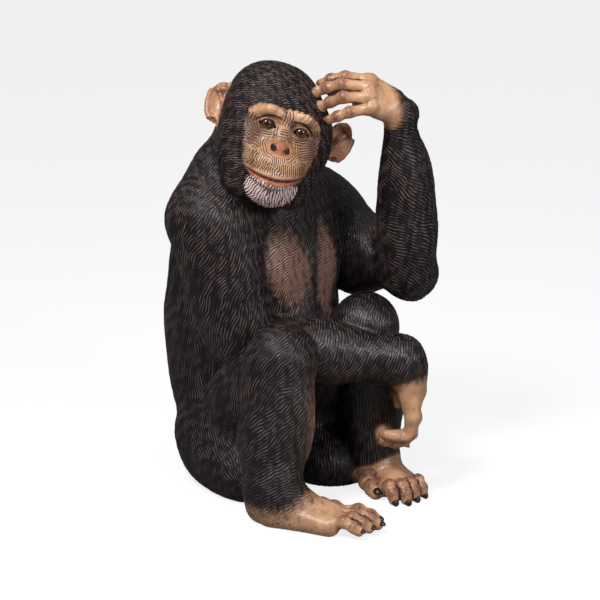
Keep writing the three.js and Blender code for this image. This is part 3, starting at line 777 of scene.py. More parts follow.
WIDTHS = {"upper_arm_right": 5.2, "forearm_left": 5.6, "torso": 4.8, "shin_right": 5.3, "forearm_right": 4.9}
# Where the scalp, the beard and the body's fur are, the width of one ridge, and the reach of a comb
FURS = ((on_head & (beard < 0.4) & furry, 4.0, 4.4, {}), (furry & (beard > 0.2), 4.9, 5.2, {}),
        (furry & ~on_head, 5.0, 6.0, WIDTHS))
comb = np.zeros((n, 3), F)
for chosen, width, reach, widths in FURS:
    seeds = one_in_each_cell(P, reach * 1.1, chosen)
    wide = np.array([widths.get(NAMES[k], width) for k in own[seeds]], F)
    comb = np.where(chosen[:, None], furrows(wavy, N, D, seeds, wide * (1 - 0.12 * chest[seeds]), reach), comb)
comb[:, 2] *= np.clip(0.82 + 0.26 * waves(P, 14, 52), 0, 1)
relief = ((0.5 + 0.5 * comb[:, 0]) ** 0.9 * comb[:, 2]).astype(F)


# Skin: wrinkles, folds and joints
def rows(u, width):
    """Grooves across u, one to each width: 1 in the groove and 0 on the ridge."""
    return (0.5 + 0.5 * np.cos(2 * math.pi * u / width)) ** 1.2


def face_lines(L):
    """How deep the face is creased, from 0 to 1."""
    P = L + np.stack([0.8 * waves(L, 14, 21), 0 * L[:, 0], 0.8 * waves(L, 14, 22)], 1)
    x, _, z = P.T
    out = np.zeros(len(L), F)
    nose = np.hypot((x - NOSE_X) / 1.3, z - NOSE_Z)
    low_lip, by_the_nose = z - lip_line(x), 0 * x
    for q in SIDES:                      # crescents under the eyes, running round to the outside
        dx, dz = (x - q * EYE_X) * q, z - EYE_Z
        r = np.hypot(dx / 1.22, dz * 1.1)
        below = smooth(-dz + 0.5 * dx, 0, 8) * smooth(r, 10.2, 11.6) * until(r, 44, 56)
        below = below * smooth(nose, 16, 21) * until(-z, 80, 94) * until(z, -18, -8)
        wing = np.hypot(x - q * 12 - NOSE_X, (z - NOSE_Z) * 0.9)         # round the wings of the nose
        side = smooth((x - NOSE_X) * q, 10, 16) * smooth(wing, 8.5, 11) * until(wing, 20, 26)
        side = side * smooth(-z, 42, 52)
        out = np.maximum(out, rows(r - 12.4, 4.25) * below * (1 - side))
        out = np.maximum(out, rows(wing - 9.5, 4.2) * side * 0.85)
        by_the_nose = np.maximum(by_the_nose, side)
    u = (x - NOSE_X) * (1 + 0.5 * (z + 112) / 45) + 0.9 * np.sin(z / 4.5 + x / 7)
    lip = smooth(-z, 71, 78) * smooth(low_lip, 5, 10) * until(np.abs(x - 2), 44, 54) * smooth(nose, 14, 17)
    out = np.maximum(out, rows(u, 4.8) * lip * (1 - by_the_nose))
    flute = smooth(low_lip, 2, 4) * until(low_lip, 7, 11) * until(np.abs(x - 2), 44, 52)
    out = np.maximum(out, rows(x, 3.2) * flute * 0.5)
    frown = until(np.abs(x - 1), 6, 14) * smooth(z, -28, -16) * until(z, 2, 8)
    out = np.maximum(out, rows(x + 1 + 0.004 * (z + 20) ** 2 * np.sign(x), 4.8) * frown)
    bridge = until(np.abs(x), 6, 9) * smooth(z, -54, -48) * until(z, -30, -24)
    out = np.maximum(out, rows(z, 4.0) * bridge * 0.75)
    beside = smooth(np.abs(x), 8, 11) * until(np.abs(x), 17, 21) * smooth(z, -52, -44)
    beside = beside * until(z, -30, -22)
    out = np.maximum(out, rows(np.abs(x) - 9, 4.0) * beside * 0.8)
    hook = hump(np.hypot(x + 14, (z + 4) * 1.05), 10.0, 1.5) * smooth(x + 0.6 * z, -14, -8)
    out = np.maximum(out, hook)
    left = until(np.hypot((x - 40) / 1.7, z - 0), 9, 15) * smooth(z, -11, -5)
    return np.maximum(out, rows(x - 0.7 * z, 8.0) * left * 0.6).astype(F)


def sockets_of_the_eyes(L):
    """The fold between the brow and each lid, and the soft shadow in the socket."""
    x, _, z = L.T
    fold, shade = np.zeros(len(L), F), np.zeros(len(L), F)
    for q in SIDES:
        dx, dz = (x - q * EYE_X) * q, z - EYE_Z
        line = hump(dz - 13.6 + 0.0145 * (dx + 8) ** 2, 0, 1.9) * smooth(dx, -25, -17) * until(dx, 21, 28)
        fold = np.maximum(fold, line)
        deep = 0.8 * np.exp(-(dx / 22) ** 2 - ((dz - 12) / 5) ** 2)
        deep = deep + (0.7 + 0.3 * q) * np.exp(-((dx + 17) / 6) ** 2 - ((dz - 5) / 10) ** 2)
        shade = np.maximum(shade, deep)
    return fold.astype(F), shade.astype(F)


def joint_lines(P):
    """Creases over the joints of the fingers and toes, and the soft flush on the knuckles."""
    crease, flush = np.zeros(len(P), F), np.zeros(len(P), F)
    for J, r, up, _ in DIGITS:
        for k in range(1, len(J) - 1):
            along = unit(J[k + 1] - J[k - 1]).astype(F)
            delta = P - J[k].astype(F)
            near = np.flatnonzero((delta * delta).sum(1) < (2.6 * r) ** 2)
            q = delta[near]
            a = q @ along
            side = unit(q - a[:, None] * along) @ unit(up).astype(F)
            reach = np.sqrt((q * q).sum(1))
            cut = until(np.abs(a), 0.45 * r, 0.95 * r) * until(reach, 1.3 * r, 1.8 * r)
            red = until(np.abs(a), 0.3 * r, 1.5 * r) * until(reach, 1.4 * r, 2.3 * r)
            cut, red = cut * smooth(side, -0.3, 0.5), red * smooth(side, -0.1, 0.6)
            crease[near] = np.maximum(crease[near], rows(a + 0.5 * np.sin(reach), 3.3) * cut)
            flush[near] = np.maximum(flush[near], red)
    return crease, flush


face_skin = bare * points_of("head")
crease, knuckle = joint_lines(P)
lines = face_lines(L) * face_skin
fold, shade = (v * face_skin for v in sockets_of_the_eyes(L))
crease = crease * bare
on_ear = points_of("ear_right") | points_of("ear_left")
rough_skin = (0.5 + 0.5 * waves(P, 5.5, 31) * waves(P, 8, 32)) * ~on_ear

# The carving itself: fur cut in and left standing, skin creased
strength = np.ones(n, F)
for centre, size in ((KNEE_R, 75), (KNEE_L, 70)):
    strength *= 1 - 0.5 * np.exp(-(((P - vecf(centre)) / size) ** 2).sum(1)) * smooth(P[:, 2], 270, 310)
depth = np.where(on_head, 0.95 + 0.6 * (beard > 0.4), 1.6) * np.where(chest > 0.4, 0.7, 1) * strength
cut = (relief - 0.7) * depth + 0.3
x, y, z = L.T
mouth = hump(z - lip_line(x), 0, 1.3) * until(np.abs(x - 2), 50, 54) * (y < -80) * face_skin
cut = (1 - bare) * cut - bare * (1.05 * lines + 0.55 * crease + 0.3 * rough_skin) - 2.6 * mouth - 2.0 * fold
P2 = P + N * cut[:, None]
P2[:, 2] = np.maximum(P2[:, 2], 0)

# Painted shade in the hollows, in two sizes: how deep each point lies under its smoothed neighbours
FULL = {3: 0.5, 13: 1.3}                 # rounds of smoothing, and how deep in mm is fully dark after them
soft, cavity_shade = P2, np.zeros(n, F)
for k in range(14):
    soft = soft + 0.8 * (spread_mean(soft, E, n) - soft)
    if k in FULL:
        cavity_shade += np.clip(((soft - P2) * N).sum(1) / FULL[k], -1, 1) * 0.5
outer = smooth(np.abs(x - 1), 30, 57) * smooth(-z, 8, 26) * face_skin
under = sum(np.exp(-((x - q * EYE_X) / 26) ** 2 - ((z - EYE_Z + 16) / 17) ** 2) for q in SIDES) * face_skin
fade = [until(foot_mask(P, A, turn), 4, 58) * (off(name) < 6) for name, A, turn in FEET]
fade = np.maximum.reduce(fade) * bare
mottled = 0.3 * np.clip(waves(P, 15, 71) * (0.6 + 0.6 * waves(P, 6, 72)), 0, 1) * ~(points_of("head") | on_ear)
cavity_shade = cavity_shade * np.where(on_ear, 0.3, 1)
hollow = np.zeros(n, F)
for q, name in ((-1, "ear_right"), (1, "ear_left")):     # painted shade in the ears' hollows
    R, middle = ear_space(q)
    a, b, c = ((P - middle.astype(F)) @ R.T.astype(F)).T
    deep = np.exp(-((a + q * 8) / 8) ** 2 - ((c + 5) / 15) ** 2)
    deep = deep + 0.8 * np.exp(-((c - 25 + 0.1 * a * q) / 5) ** 2 - ((a - q * 2) / 14) ** 2) + 0.04
    hollow += points_of(name) * smooth(-b, -4, 0) * np.clip(deep, 0, 1)
# Painted shade in wrinkles, joint creases and hollows, with the brown tones of the outer cheeks and under the eyes;
# then also painted shade in the eye sockets and the ears' hollows, the feet darker towards the ankles, and mottling
wash_and_shade = 0.86 * lines + 0.75 * crease + 0.55 * np.clip(cavity_shade, 0, 1) + 0.5 * outer + 0.27 * under
skin_relief = 1 - np.clip(wash_and_shade + 0.6 * shade + 0.45 * fade + mottled + hollow, 0, 1)
relief = relief * (1 - bare) + skin_relief * bare

lip = z - lip_line(x)
lips = smooth(lip, -14, -9) * until(lip, 2, 6) * until(np.abs(x - 2), 46, 54) * (y < -80)
nose = np.exp(-(((x - NOSE_X) / 18) ** 2) ** 2 - (((z - NOSE_Z + 2) / 13) ** 2) ** 2) * smooth(-y, 88, 96)
ear_flush = (off("ear_right") < 3) * 0.2 + (off("ear_left") < 3) * 0.5
blush = np.clip(np.maximum.reduce([lips, nose, 0.5 * knuckle, ear_flush]) * bare, 0, 1)
# Painted shade in the nostrils
nostril = (np.exp(-(((x - NOSE_X + 10.8) / 4.2) ** 2 + ((z - NOSE_Z + 2) / 6.6) ** 2) ** 1.5)
           + np.exp(-(((x - NOSE_X - 10.6) / 6.6) ** 2 + ((z - NOSE_Z + 4.5) / 3.9) ** 2) ** 1.5)) * (y < -92)
# Painted shade in a thin ring where the lids meet the eyeballs
eye_rim = [hump(np.sqrt(apart(L, (q * EYE_X, EYE_Y, EYE_Z))), EYE_R + 0.2, 1.1) for q in SIDES]
edge = 1 - np.abs(2 * bare - 1)
# Painted shade, as the dark mark: in the nostrils, where the lids meet the eyeballs, in the mouth's slit, in the lid
# folds and sockets, in the ears' hollows and the deepest hollows; also darker along the face's border
darks = [nostril, np.maximum.reduce(eye_rim) * face_skin, 0.8 * mouth, 0.75 * fold, 0.45 * shade]
darks += [0.6 * np.clip(hollow - 0.45, 0, 1), 0.35 * edge * face_skin, np.clip(cavity_shade * 1.4 - 0.45, 0, 1) * bare]
dark = np.clip(np.maximum.reduce(darks), 0, 1)
pale = smooth(beard + 0.5 * (relief - 0.5), 0.25, 0.6)
WARM = {"head": 0.75, "torso": 0.35, "thigh_right": 0.3, "thigh_left": 0.2, "shin_right": 0.3, "shin_left": 0.1,
        "foot_right": 0.3, "foot_left": 0.3, "upper_arm_right": 0.6, "upper_arm_left": 0.05, "forearm_right": 0.5,
        "forearm_left": 0.55, "hand_right": 0.4, "hand_left": 0.5, "ear_right": 0.6, "ear_left": 0.6}
GLOSS = {"forearm_right": 0.8, "upper_arm_left": 0.9, "shin_left": 1.0, "torso": 0.35, "shin_right": 0.5,
         "thigh_left": 0.7, "head": 0.0, "forearm_left": 0.4, "upper_arm_right": 0.4, "thigh_right": 0.25}
near = np.exp(-(dist - dist.min(1, keepdims=True)) / 14)
warm = (near @ vecf([WARM[k] for k in NAMES])) / near.sum(1) + 0.3 * chest + 0.12 * waves(P, 70, 41)
matte = 1 - (near @ vecf([GLOSS.get(k, 0.5) for k in NAMES])) / near.sum(1)
tan = np.clip(chest + 0.75 * on_shin, 0, 1)
MARKS = {"matte": matte, "bare": bare, "relief": relief, "blush": blush, "dark": dark, "pale": pale,
         "warm": np.clip(warm, 0, 1), "tan": tan, "comb_cos": comb[:, 0], "comb_sin": comb[:, 1],
         "comb_strength": comb[:, 2]}


# Pieces: the one skin is carved whole, then cut along the parts, so that no piece grows too big
PIECES = ["face", "scalp_right", "scalp_left", "ear_right", "ear_left", "chest", "back_right", "back_left", "belly",
          "upper_arm_right", "upper_arm_left", "forearm_right", "forearm_left", "hand_right", "hand_left",
          "thigh_right", "thigh_left", "rump_right", "rump_left", "shin_right", "shin_left", "foot_right", "foot_left"]
BARE_PIECES = {"face", "ear_right", "ear_left", "hand_right", "hand_left", "foot_right", "foot_left"}
STANDS_FOR = {"face": ("head",), "scalp_right": ("head",), "scalp_left": ("head",), "chest": ("torso",),
              "back_right": ("torso",), "back_left": ("torso",), "belly": ("torso",),
              "rump_right": ("thigh_right",), "rump_left": ("thigh_left",)}


def face_numbers(mesh):
    """Each face's first corner, how many it has, and the point at every corner."""
    first, total, corners = (np.empty(len(k), np.int32) for k in (mesh.polygons, mesh.polygons, mesh.loops))
    mesh.polygons.foreach_get("loop_start", first)
    mesh.polygons.foreach_get("loop_total", total)
    mesh.loops.foreach_get("vertex_index", corners)
    return first, total, corners


def piece_of(P, bare, own):
    """The number of the piece that each point belongs to."""
    MIDDLE, BACK_FROM, CHEST_FROM, RUMP_FROM, PARTING = -6, 130, 330, 90, -4     # x, y, z, y and the head's x
    out = np.zeros(len(P), np.int32)
    x, y, z = P.T

    def put(here, test, name, other):
        out[here & test], out[here & ~test] = PIECES.index(name), PIECES.index(other)
    for name in NAMES:
        here, skin = own == part(name), bare > 0.5
        if name == "head":
            put(here, to_head(P)[:, 0] < PARTING, "scalp_right", "scalp_left")
            out[here & skin] = PIECES.index("face")
        elif name == "torso":
            put(here & (y < BACK_FROM), z > CHEST_FROM, "chest", "belly")
            put(here & (y >= BACK_FROM), x < MIDDLE, "back_right", "back_left")
        elif name.startswith("thigh"):
            put(here, y < RUMP_FROM, name, name.replace("thigh", "rump"))
        elif name.startswith(("hand", "foot")):
            put(here, skin, name, name.replace("hand", "forearm").replace("foot", "shin"))
        else:
            out[here] = PIECES.index(name)
    return out


def unwrap(mesh, P, N, first, total, corners, kind):
    """A flat map of each piece's own shape: six sides of it, laid side by side."""
    uv = np.zeros((len(corners), 2), F)
    faces, facing = np.repeat(np.arange(len(first)), total), N[corners[first]]
    axis = np.abs(facing).argmax(1)
    way = axis * 2 + (np.take_along_axis(facing, axis[:, None], 1)[:, 0] > 0)
    for k in np.unique(kind):
        mine = (kind == k)[faces]
        span = np.ptp(P[corners[mine]], axis=0).max() * 1.02
        low = P[corners[mine]].min(0)
        for side in range(6):
            pick = mine & (way == side)[faces]
            if pick.any():
                flat = np.delete((P[corners[pick]] - low) / span, side // 2, 1)
                uv[pick] = (flat * 0.96 + 0.02 + (side % 3, side // 3)) / 3
    layer = mesh.uv_layers.new(name="OFBake")
    layer.data.foreach_set("uv", uv.ravel())


def sorting_group():
    """Geometry nodes that keep the faces of one piece."""
    group = bpy.data.node_groups.new("one piece", "GeometryNodeTree")
    group.interface.new_socket("Geometry", in_out="INPUT", socket_type="NodeSocketGeometry")
    number = group.interface.new_socket("Number", in_out="INPUT", socket_type="NodeSocketInt")
    group.interface.new_socket("Geometry", in_out="OUTPUT", socket_type="NodeSocketGeometry")
    kinds = ("NodeGroupInput", "NodeGroupOutput", "GeometryNodeInputNamedAttribute", "FunctionNodeCompare",
             "GeometryNodeSeparateGeometry")
    take, give, mark, same, keep = (group.nodes.new(k) for k in kinds)
    mark.data_type, mark.inputs["Name"].default_value = "INT", "piece"
    same.data_type, same.operation = "INT", "EQUAL"
    keep.domain = "FACE"
    group.links.new(mark.outputs["Attribute"], same.inputs[2])
    group.links.new(take.outputs["Number"], same.inputs[3])
    group.links.new(take.outputs["Geometry"], keep.inputs["Geometry"])
    group.links.new(same.outputs["Result"], keep.inputs["Selection"])
    group.links.new(keep.outputs["Selection"], give.inputs["Geometry"])
    return group, number.identifier


place(mesh, (P2 + SHIFT) * MM)
for name, values in MARKS.items():
    mesh.attributes.new(name, "FLOAT", "POINT").data.foreach_set("value", np.ascontiguousarray(values, F))
mesh.attributes.new("whole", "INT", "POINT").data.foreach_set("value", np.arange(n, dtype=np.int32))
normals = np.empty(n * 3, F)
mesh.vertex_normals.foreach_get("vector", normals)
normals = normals.reshape(-1, 3)
first, total, corners = face_numbers(mesh)
kind = piece_of(P, bare, own)[corners[first]]
mesh.attributes.new("piece", "INT", "FACE").data.foreach_set("value", kind)
unwrap(mesh, P, N, first, total, corners, kind)


# Paint
def new_material(name):
    """A material, its nodes and its shader."""
    material = bpy.data.materials.new(name)
    material.use_nodes = True
    return material, material.node_tree, material.node_tree.nodes["Principled BSDF"]


def node(tree, kind, settings=None, **inputs):
    """A node with these settings and inputs, each a value or another node's socket."""
    made = tree.nodes.new(kind)
    for key, value in (settings or {}).items():
        setattr(made, key, value)
    for key, value in inputs.items():
        plug(tree, made.inputs[key.replace("_", " ")], value)
    return made


def plug(tree, socket, value):
    if isinstance(value, bpy.types.NodeSocket):
        tree.links.new(value, socket)
    else:
        socket.default_value = value


def tint(tree, amount, a, b):
    """From colour a to colour b."""
    made = tree.nodes.new("ShaderNodeMix")
    made.data_type = "RGBA"
    for index, value in ((0, amount), (6, a), (7, b)):
        plug(tree, made.inputs[index], value if not isinstance(value, tuple) else value + (1,))
    return made.outputs[2]


def sums(tree, operation, a, b, clamp=False):
    made = tree.nodes.new("ShaderNodeMath")
    made.operation, made.use_clamp = operation, clamp
    plug(tree, made.inputs[0], a)
    plug(tree, made.inputs[1], b)
    return made.outputs[0]


def ranged(tree, value, a, b, low=0.0, high=1.0):
    """From low at a to high at b, softly."""
    made = node(tree, "ShaderNodeMapRange", {"interpolation_type": "SMOOTHSTEP"},
                Value=value, From_Min=a, From_Max=b, To_Min=low, To_Max=high)
    return made.outputs["Result"]


def blended(tree, amount, low, high):
    """From low to high as the amount goes from 0 to 1."""
    return node(tree, "ShaderNodeMapRange", None, Value=amount, To_Min=low, To_Max=high).outputs["Result"]


def place_of(tree):
    return tree.nodes.new("ShaderNodeTexCoord").outputs["Object"]


def speckle(tree, place, scale, detail=2.0, roughness=0.5):
    made = node(tree, "ShaderNodeTexNoise", None, Vector=place, Scale=scale, Detail=detail, Roughness=roughness)
    return made.outputs["Fac"]


def sockets(group, takes, gives):
    for name in takes:
        group.interface.new_socket(name, in_out="INPUT", socket_type="NodeSocketFloat")
    for name in gives:
        kind = "NodeSocketColor" if name == "Color" else "NodeSocketFloat"
        group.interface.new_socket(name, in_out="OUTPUT", socket_type=kind)
    return group.nodes.new("NodeGroupInput"), group.nodes.new("NodeGroupOutput")


BLACK, SOOT = (0.002, 0.0015, 0.0016), (0.014, 0.0095, 0.0095)                   # fur, from the cuts to the ridges
COOL, WARMTH = (0.062, 0.047, 0.05), (0.19, 0.112, 0.112)
LOBE, LOBE_ROOT = (0.42, 0.245, 0.185), (0.07, 0.035, 0.028)                     # the chest's two lobes
PALE, PALE_ROOT = (1.0, 0.8, 0.77), (0.15, 0.055, 0.045)                         # the beard
TAN, LIGHT_TAN = (0.49, 0.25, 0.135), (0.63, 0.37, 0.21)                         # skin
# the brown that skin goes to for its painted shade and its brown tones; the flush of nose, lips and knuckles; the
# near-black of the painted shade in the darkest places
WASH_AND_SHADE, FLUSH, SHADOW = (0.115, 0.054, 0.038), (0.34, 0.105, 0.06), (0.008, 0.004, 0.0035)
FUR_MARKS = ("Comb Cos", "Comb Sin", "Comb Strength", "Warm", "Pale", "Tan", "Matte")
SKIN_MARKS = ("Relief", "Blush")


def fur_paint():
    """Black in the cuts, brown-black on the ridges and dry-brushed with red-brown along their tops."""
    g = bpy.data.node_groups.new("fur paint", "ShaderNodeTree")
    take, give = sockets(g, FUR_MARKS, ("Color", "Roughness", "Height"))
    place = place_of(g)
    fine, broad = speckle(g, place, 900, 3), speckle(g, place, 34, 3)
    turn = sums(g, "ARCTAN2", take.outputs["Comb Sin"], take.outputs["Comb Cos"])
    strand = sums(g, "ADD", sums(g, "MULTIPLY", sums(g, "COSINE", turn, 0.0), 0.5), 0.5)
    finer = sums(g, "ADD", sums(g, "MULTIPLY", turn, 3.0), sums(g, "MULTIPLY", speckle(g, place, 120, 2), 9.0))
    hairs = sums(g, "COSINE", finer, 0.0)                        # three hairs to a strand
    strand = sums(g, "MULTIPLY", strand, take.outputs["Comb Strength"])
    relief = sums(g, "ADD", strand, ranged(g, fine, 0.3, 0.7, -0.08, 0.08))
    relief = sums(g, "ADD", relief, sums(g, "MULTIPLY", hairs, 0.07))
    warm = sums(g, "ADD", take.outputs["Warm"], ranged(g, broad, 0.3, 0.7, -0.16, 0.16), True)
    ridge = tint(g, warm, COOL, WARMTH)
    coat = tint(g, ranged(g, relief, 0.05, 0.5), BLACK, SOOT)
    coat = tint(g, ranged(g, relief, 0.5, 1.0), coat, ridge)
    coat = tint(g, take.outputs["Tan"], coat, tint(g, ranged(g, relief, 0.05, 0.8), LOBE_ROOT, LOBE))
    hair = tint(g, ranged(g, relief, 0.15, 0.5), PALE_ROOT, PALE)
    g.links.new(tint(g, take.outputs["Pale"], coat, hair), give.inputs["Color"])
    rough = sums(g, "ADD", ranged(g, broad, 0.3, 0.7, 0.28, 0.36), sums(g, "MULTIPLY", take.outputs["Matte"], 0.3))
    g.links.new(rough, give.inputs["Roughness"])
    g.links.new(sums(g, "ADD", sums(g, "MULTIPLY", fine, 0.4), sums(g, "MULTIPLY", hairs, 0.22)), give.inputs["Height"])
    return g


def skin_paint():
    """Tan, going to a brown where shade is painted into creases, hollows and the eye sockets and where the skin has
    brown tones; flushed on nose, lips and knuckles.
    """
    g = bpy.data.node_groups.new("skin paint", "ShaderNodeTree")
    take, give = sockets(g, SKIN_MARKS, ("Color", "Roughness", "Height"))
    place = place_of(g)
    fine, middle, broad = speckle(g, place, 1100, 3), speckle(g, place, 240, 4, 0.6), speckle(g, place, 45, 3)
    skin = tint(g, ranged(g, broad, 0.35, 0.65), TAN, LIGHT_TAN)
    flush = sums(g, "ADD", take.outputs["Blush"], ranged(g, middle, 0.55, 0.75, 0.0, 0.16), True)
    skin = tint(g, flush, skin, FLUSH)
    relief = sums(g, "ADD", take.outputs["Relief"], ranged(g, middle, 0.3, 0.7, -0.14, 0.1))
    g.links.new(tint(g, ranged(g, relief, 0.12, 0.92), WASH_AND_SHADE, skin), give.inputs["Color"])
    g.links.new(ranged(g, middle, 0.3, 0.7, 0.3, 0.42), give.inputs["Roughness"])
    height = sums(g, "ADD", sums(g, "MULTIPLY", fine, 0.25), sums(g, "MULTIPLY", middle, 0.75))
    g.links.new(height, give.inputs["Height"])
    return g


def mark(tree, name):
    return node(tree, "ShaderNodeAttribute", {"attribute_name": name, "attribute_type": "GEOMETRY"}).outputs["Fac"]


def resin(name, fur, skin):
    """Painted and varnished resin; fur and bare skin meet in one coat of paint."""
    material, t, shader = new_material(name)
    bare, dark = mark(t, "bare"), mark(t, "dark")
    groups = []
    for made, names in ((fur, FUR_MARKS), (skin, SKIN_MARKS)):
        g = t.nodes.new("ShaderNodeGroup")
        g.node_tree = made
        for key in names:
            t.links.new(mark(t, key.lower().replace(" ", "_")), g.inputs[key])
        groups.append(g)
    a, b = (g.outputs for g in groups)
    # Painted shade: where the dark mark is, the colour goes nearly to black
    color = tint(t, sums(t, "MULTIPLY", dark, 0.93), tint(t, bare, a["Color"], b["Color"]), SHADOW)
    t.links.new(color, shader.inputs["Base Color"])
    rough = blended(t, dark, blended(t, bare, a["Roughness"], b["Roughness"]), 0.9)
    t.links.new(rough, shader.inputs["Roughness"])
    height = blended(t, bare, a["Height"], b["Height"])
    bump = node(t, "ShaderNodeBump", None, Strength=0.5, Distance=0.0007, Height=height)
    t.links.new(bump.outputs["Normal"], shader.inputs["Normal"])
    dull = sums(t, "MULTIPLY", mark(t, "matte"), sums(t, "SUBTRACT", 1.0, bare))
    dull = sums(t, "ADD", dull, sums(t, "MULTIPLY", dark, bare), True)
    t.links.new(blended(t, dull, 0.45, 0.2), shader.inputs["Specular IOR Level"])
    shader.inputs["Coat Weight"].default_value = 0.06
    shader.inputs["Coat Roughness"].default_value = 0.22
    return material


paints = fur_paint(), skin_paint()
coat_resin, skin_resin = resin("painted fur", *paints), resin("painted skin", *paints)

# Cut the one skin into its pieces
skin.data = mesh
sorter = skin.modifiers.new("one piece", "NODES")
sorter.node_group, number = sorting_group()
for k, name in enumerate(PIECES):
    sorter[number] = k
    skin.update_tag()
    cut_mesh = baked(skin)
    index = np.empty(len(cut_mesh.vertices), np.int32)
    cut_mesh.attributes["whole"].data.foreach_get("value", index)
    cut_mesh.attributes.remove(cut_mesh.attributes["whole"])
    cut_mesh.attributes.remove(cut_mesh.attributes["piece"])
    cut_mesh.shade_smooth()
    cut_mesh.normals_split_custom_set_from_vertices(normals[index])
    cut_mesh.name = name
    cut_mesh.materials.clear()
    cut_mesh.materials.append(skin_resin if name in BARE_PIECES else coat_resin)
    piece = new_object("skin_" + name, cut_mesh)
    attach(piece, "root")
    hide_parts(*STANDS_FOR.get(name, (name,)))
bpy.data.objects.remove(skin)


# Eyes
def painted_eye():
    """Red-brown iris with a dark rim round a black pupil, under a thick gloss."""
    material, t, shader = new_material("painted eye")
    uneven = ranged(t, speckle(t, place_of(t), 420, 3), 0.3, 0.7, -0.35, 0.35)
    reach = sums(t, "ADD", mark(t, "reach"), uneven)             # mm from the pupil's middle, over the eyeball
    iris = tint(t, ranged(t, reach, 3.4, 7.6), (0.035, 0.008, 0.006), (0.15, 0.042, 0.027))
    iris = tint(t, ranged(t, reach, 7.6, 9.4), iris, (0.012, 0.005, 0.004))
    iris = tint(t, ranged(t, reach, 10.2, 12.5), iris, (0.16, 0.085, 0.07))
    color = tint(t, ranged(t, reach, 3.7, 4.5), (0.002, 0.0015, 0.0015), iris)
    t.links.new(color, shader.inputs["Base Color"])
    shader.inputs["Roughness"].default_value = 0.12
    shader.inputs["Coat Weight"].default_value = 1.0
    shader.inputs["Coat Roughness"].default_value = 0.03
    return material


def make_eye(q, name, material):
    """An eyeball whose pole is its pupil, with a low clear bulge over the iris."""
    gaze = unit(BACK * 0.75 + from_head((0, -1, 0)) * 0.25 - vec(HEAD_AT) * 0.25 - UP * 0.12)
    centre = from_head((q * EYE_X, EYE_Y, EYE_Z)) + SHIFT
    at = Matrix.Translation(Vector(centre * MM)) @ Vector(gaze).to_track_quat("Z", "Y").to_matrix().to_4x4()
    bm = bmesh.new()
    bmesh.ops.create_uvsphere(bm, u_segments=72, v_segments=60, radius=(EYE_R - 0.1) * MM, matrix=at)
    mesh = bpy.data.meshes.new(name)
    bm.to_mesh(mesh)
    bm.free()
    P = coords(mesh) / MM - centre.astype(F)
    way = unit(P)
    reach = EYE_R * np.arccos(np.clip(way @ gaze, -1, 1))
    place(mesh, (P + way * (0.9 * until(reach, 4, 10.5))[:, None] + centre) * MM)
    mesh.attributes.new("reach", "FLOAT", "POINT").data.foreach_set("value", reach.astype(F))
    mesh.shade_smooth()
    mesh.materials.append(material)
    eye = new_object("eyeball_" + name, mesh)
    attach(eye, "root")
    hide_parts("eye_" + name)


eye_material = painted_eye()
make_eye(-1, "right", eye_material)
make_eye(1, "left", eye_material)


# Nails
def painted_nail(name, low, high):
    material, t, shader = new_material(name)
    t.links.new(tint(t, ranged(t, speckle(t, place_of(t), 300, 3), 0.35, 0.75), low, high), shader.inputs["Base Color"])
    shader.inputs["Roughness"].default_value = 0.28
    return material


def make_nails(node_name, digits, material):
    """A domed shell let into the back of each tip."""
    bm = bmesh.new()
    for J, r, up, toe in digits:
        along = unit(J[-1] - J[-2])
        out = unit(unit(up) - along * (unit(up) @ along))
        side = np.cross(along, out)
        middle = J[-1] + out * r * (0.66 if toe else 0.74) + along * r * (0.42 if toe else 0.3)
        axes = Matrix([list(side * r * 0.6), list(along * r * 0.66), list(out * r * 0.27)]).transposed().to_4x4()
        made = bmesh.ops.create_uvsphere(bm, u_segments=28, v_segments=18, radius=1.0, matrix=axes)
        for v in made["verts"]:
            across, reach = Vector(side).dot(v.co) / r, Vector(along).dot(v.co) / r
            drop = Vector(out) * r * (0.55 * across ** 2 + 0.18 * max(reach, 0) ** 2)
            v.co = (v.co - drop + Vector(middle + SHIFT)) * MM
            v.co.z = max(v.co.z, 0)
    mesh = bpy.data.meshes.new("nails_" + node_name)
    bm.to_mesh(mesh)
    bm.free()
    mesh.shade_smooth()
    mesh.materials.append(material)
    nails = new_object("nails_" + node_name, mesh)
    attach(nails, "root")
    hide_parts(node_name)


black_nail = painted_nail("painted toenail", (0.010, 0.006, 0.0055), (0.06, 0.038, 0.03))
brown_nail = painted_nail("painted fingernail", (0.17, 0.075, 0.045), (0.34, 0.175, 0.105))
for k, node_name in enumerate(("foot_right", "foot_left", "hand_right", "hand_left")):
    make_nails(node_name, DIGITS[k * 5:k * 5 + 5], black_nail if node_name.startswith("foot") else brown_nail)

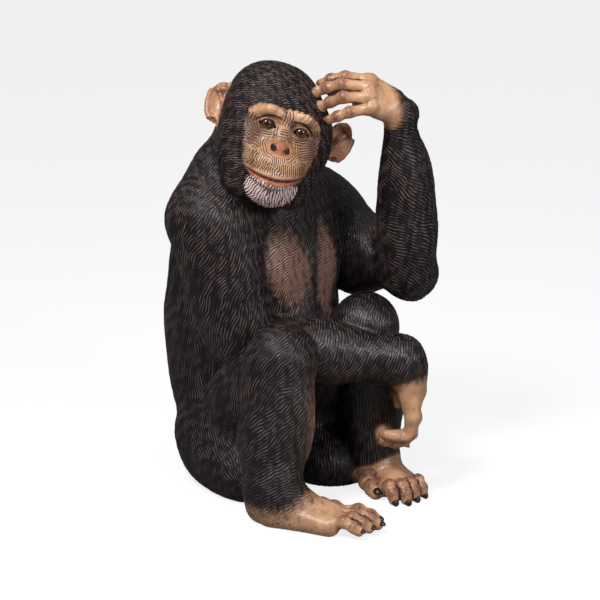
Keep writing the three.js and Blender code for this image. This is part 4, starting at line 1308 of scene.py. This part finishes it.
# Floor, lights and camera
bm = bmesh.new()
bmesh.ops.create_grid(bm, x_segments=1, y_segments=1, size=12)
bmesh.ops.translate(bm, verts=bm.verts, vec=(0, 0, -0.0002))
floor_mesh = bpy.data.meshes.new("floor")
bm.to_mesh(floor_mesh)
bm.free()
floor = new_object("floor", floor_mesh)
paper, t, shader = new_material("pale paper")
for key, value in (("Base Color", (0.3, 0.3, 0.3, 1)), ("Roughness", 0.9), ("Specular IOR Level", 0.1),
                   ("Emission Color", (1, 1, 1, 1))):
    shader.inputs[key].default_value = value
direct = t.nodes.new("ShaderNodeLightPath").outputs["Is Camera Ray"]
t.links.new(sums(t, "MULTIPLY", direct, 0.8), shader.inputs["Emission Strength"])
floor_mesh.materials.append(paper)

world = bpy.data.worlds.new("studio")
world.use_nodes = True
sky = world.node_tree
direct, air = sky.nodes.new("ShaderNodeLightPath").outputs["Is Camera Ray"], sky.nodes["Background"]
air.inputs["Color"].default_value = (1, 1, 1, 1)
sky.links.new(blended(sky, direct, 0.21, 1.05), air.inputs["Strength"])
bpy.context.scene.world = world
bpy.context.scene.view_settings.view_transform = "Standard"


def look(obj, aim, back, distance):
    """Puts a lamp or the camera that far back from its aim, and turns it there."""
    obj.location = aim + back * distance
    obj.rotation_mode = "QUATERNION"
    obj.rotation_quaternion = (-back).to_track_quat("-Z", "Y")
    bpy.context.scene.collection.objects.link(obj)


def lamp(name, azimuth, elevation, distance, size, power, aim=(0, 0, 0.42)):
    data = bpy.data.lights.new(name, "AREA")
    data.shape, data.size, data.energy = "DISK", size, power
    look(bpy.data.objects.new(name, data), Vector(aim), Vector(ahead(azimuth, elevation)), distance)


lamp("key", -70, 48, 2.4, 0.7, 44)
lamp("fill", 6, 22, 2.8, 0.6, 24)
lamp("top", -40, 80, 2.6, 1.2, 9)

camera = bpy.data.objects.new("camera", bpy.data.cameras.new("camera"))
camera.data.sensor_width, camera.data.lens = 36, VIEW_LENS
aim = ((VIEW_AIM[0] + SHIFT[0]) * MM, (VIEW_AIM[1] + SHIFT[1]) * MM, VIEW_AIM[2] * MM)
look(camera, Vector(aim), Vector(BACK), VIEW_DISTANCE)
bpy.context.scene.camera = camera
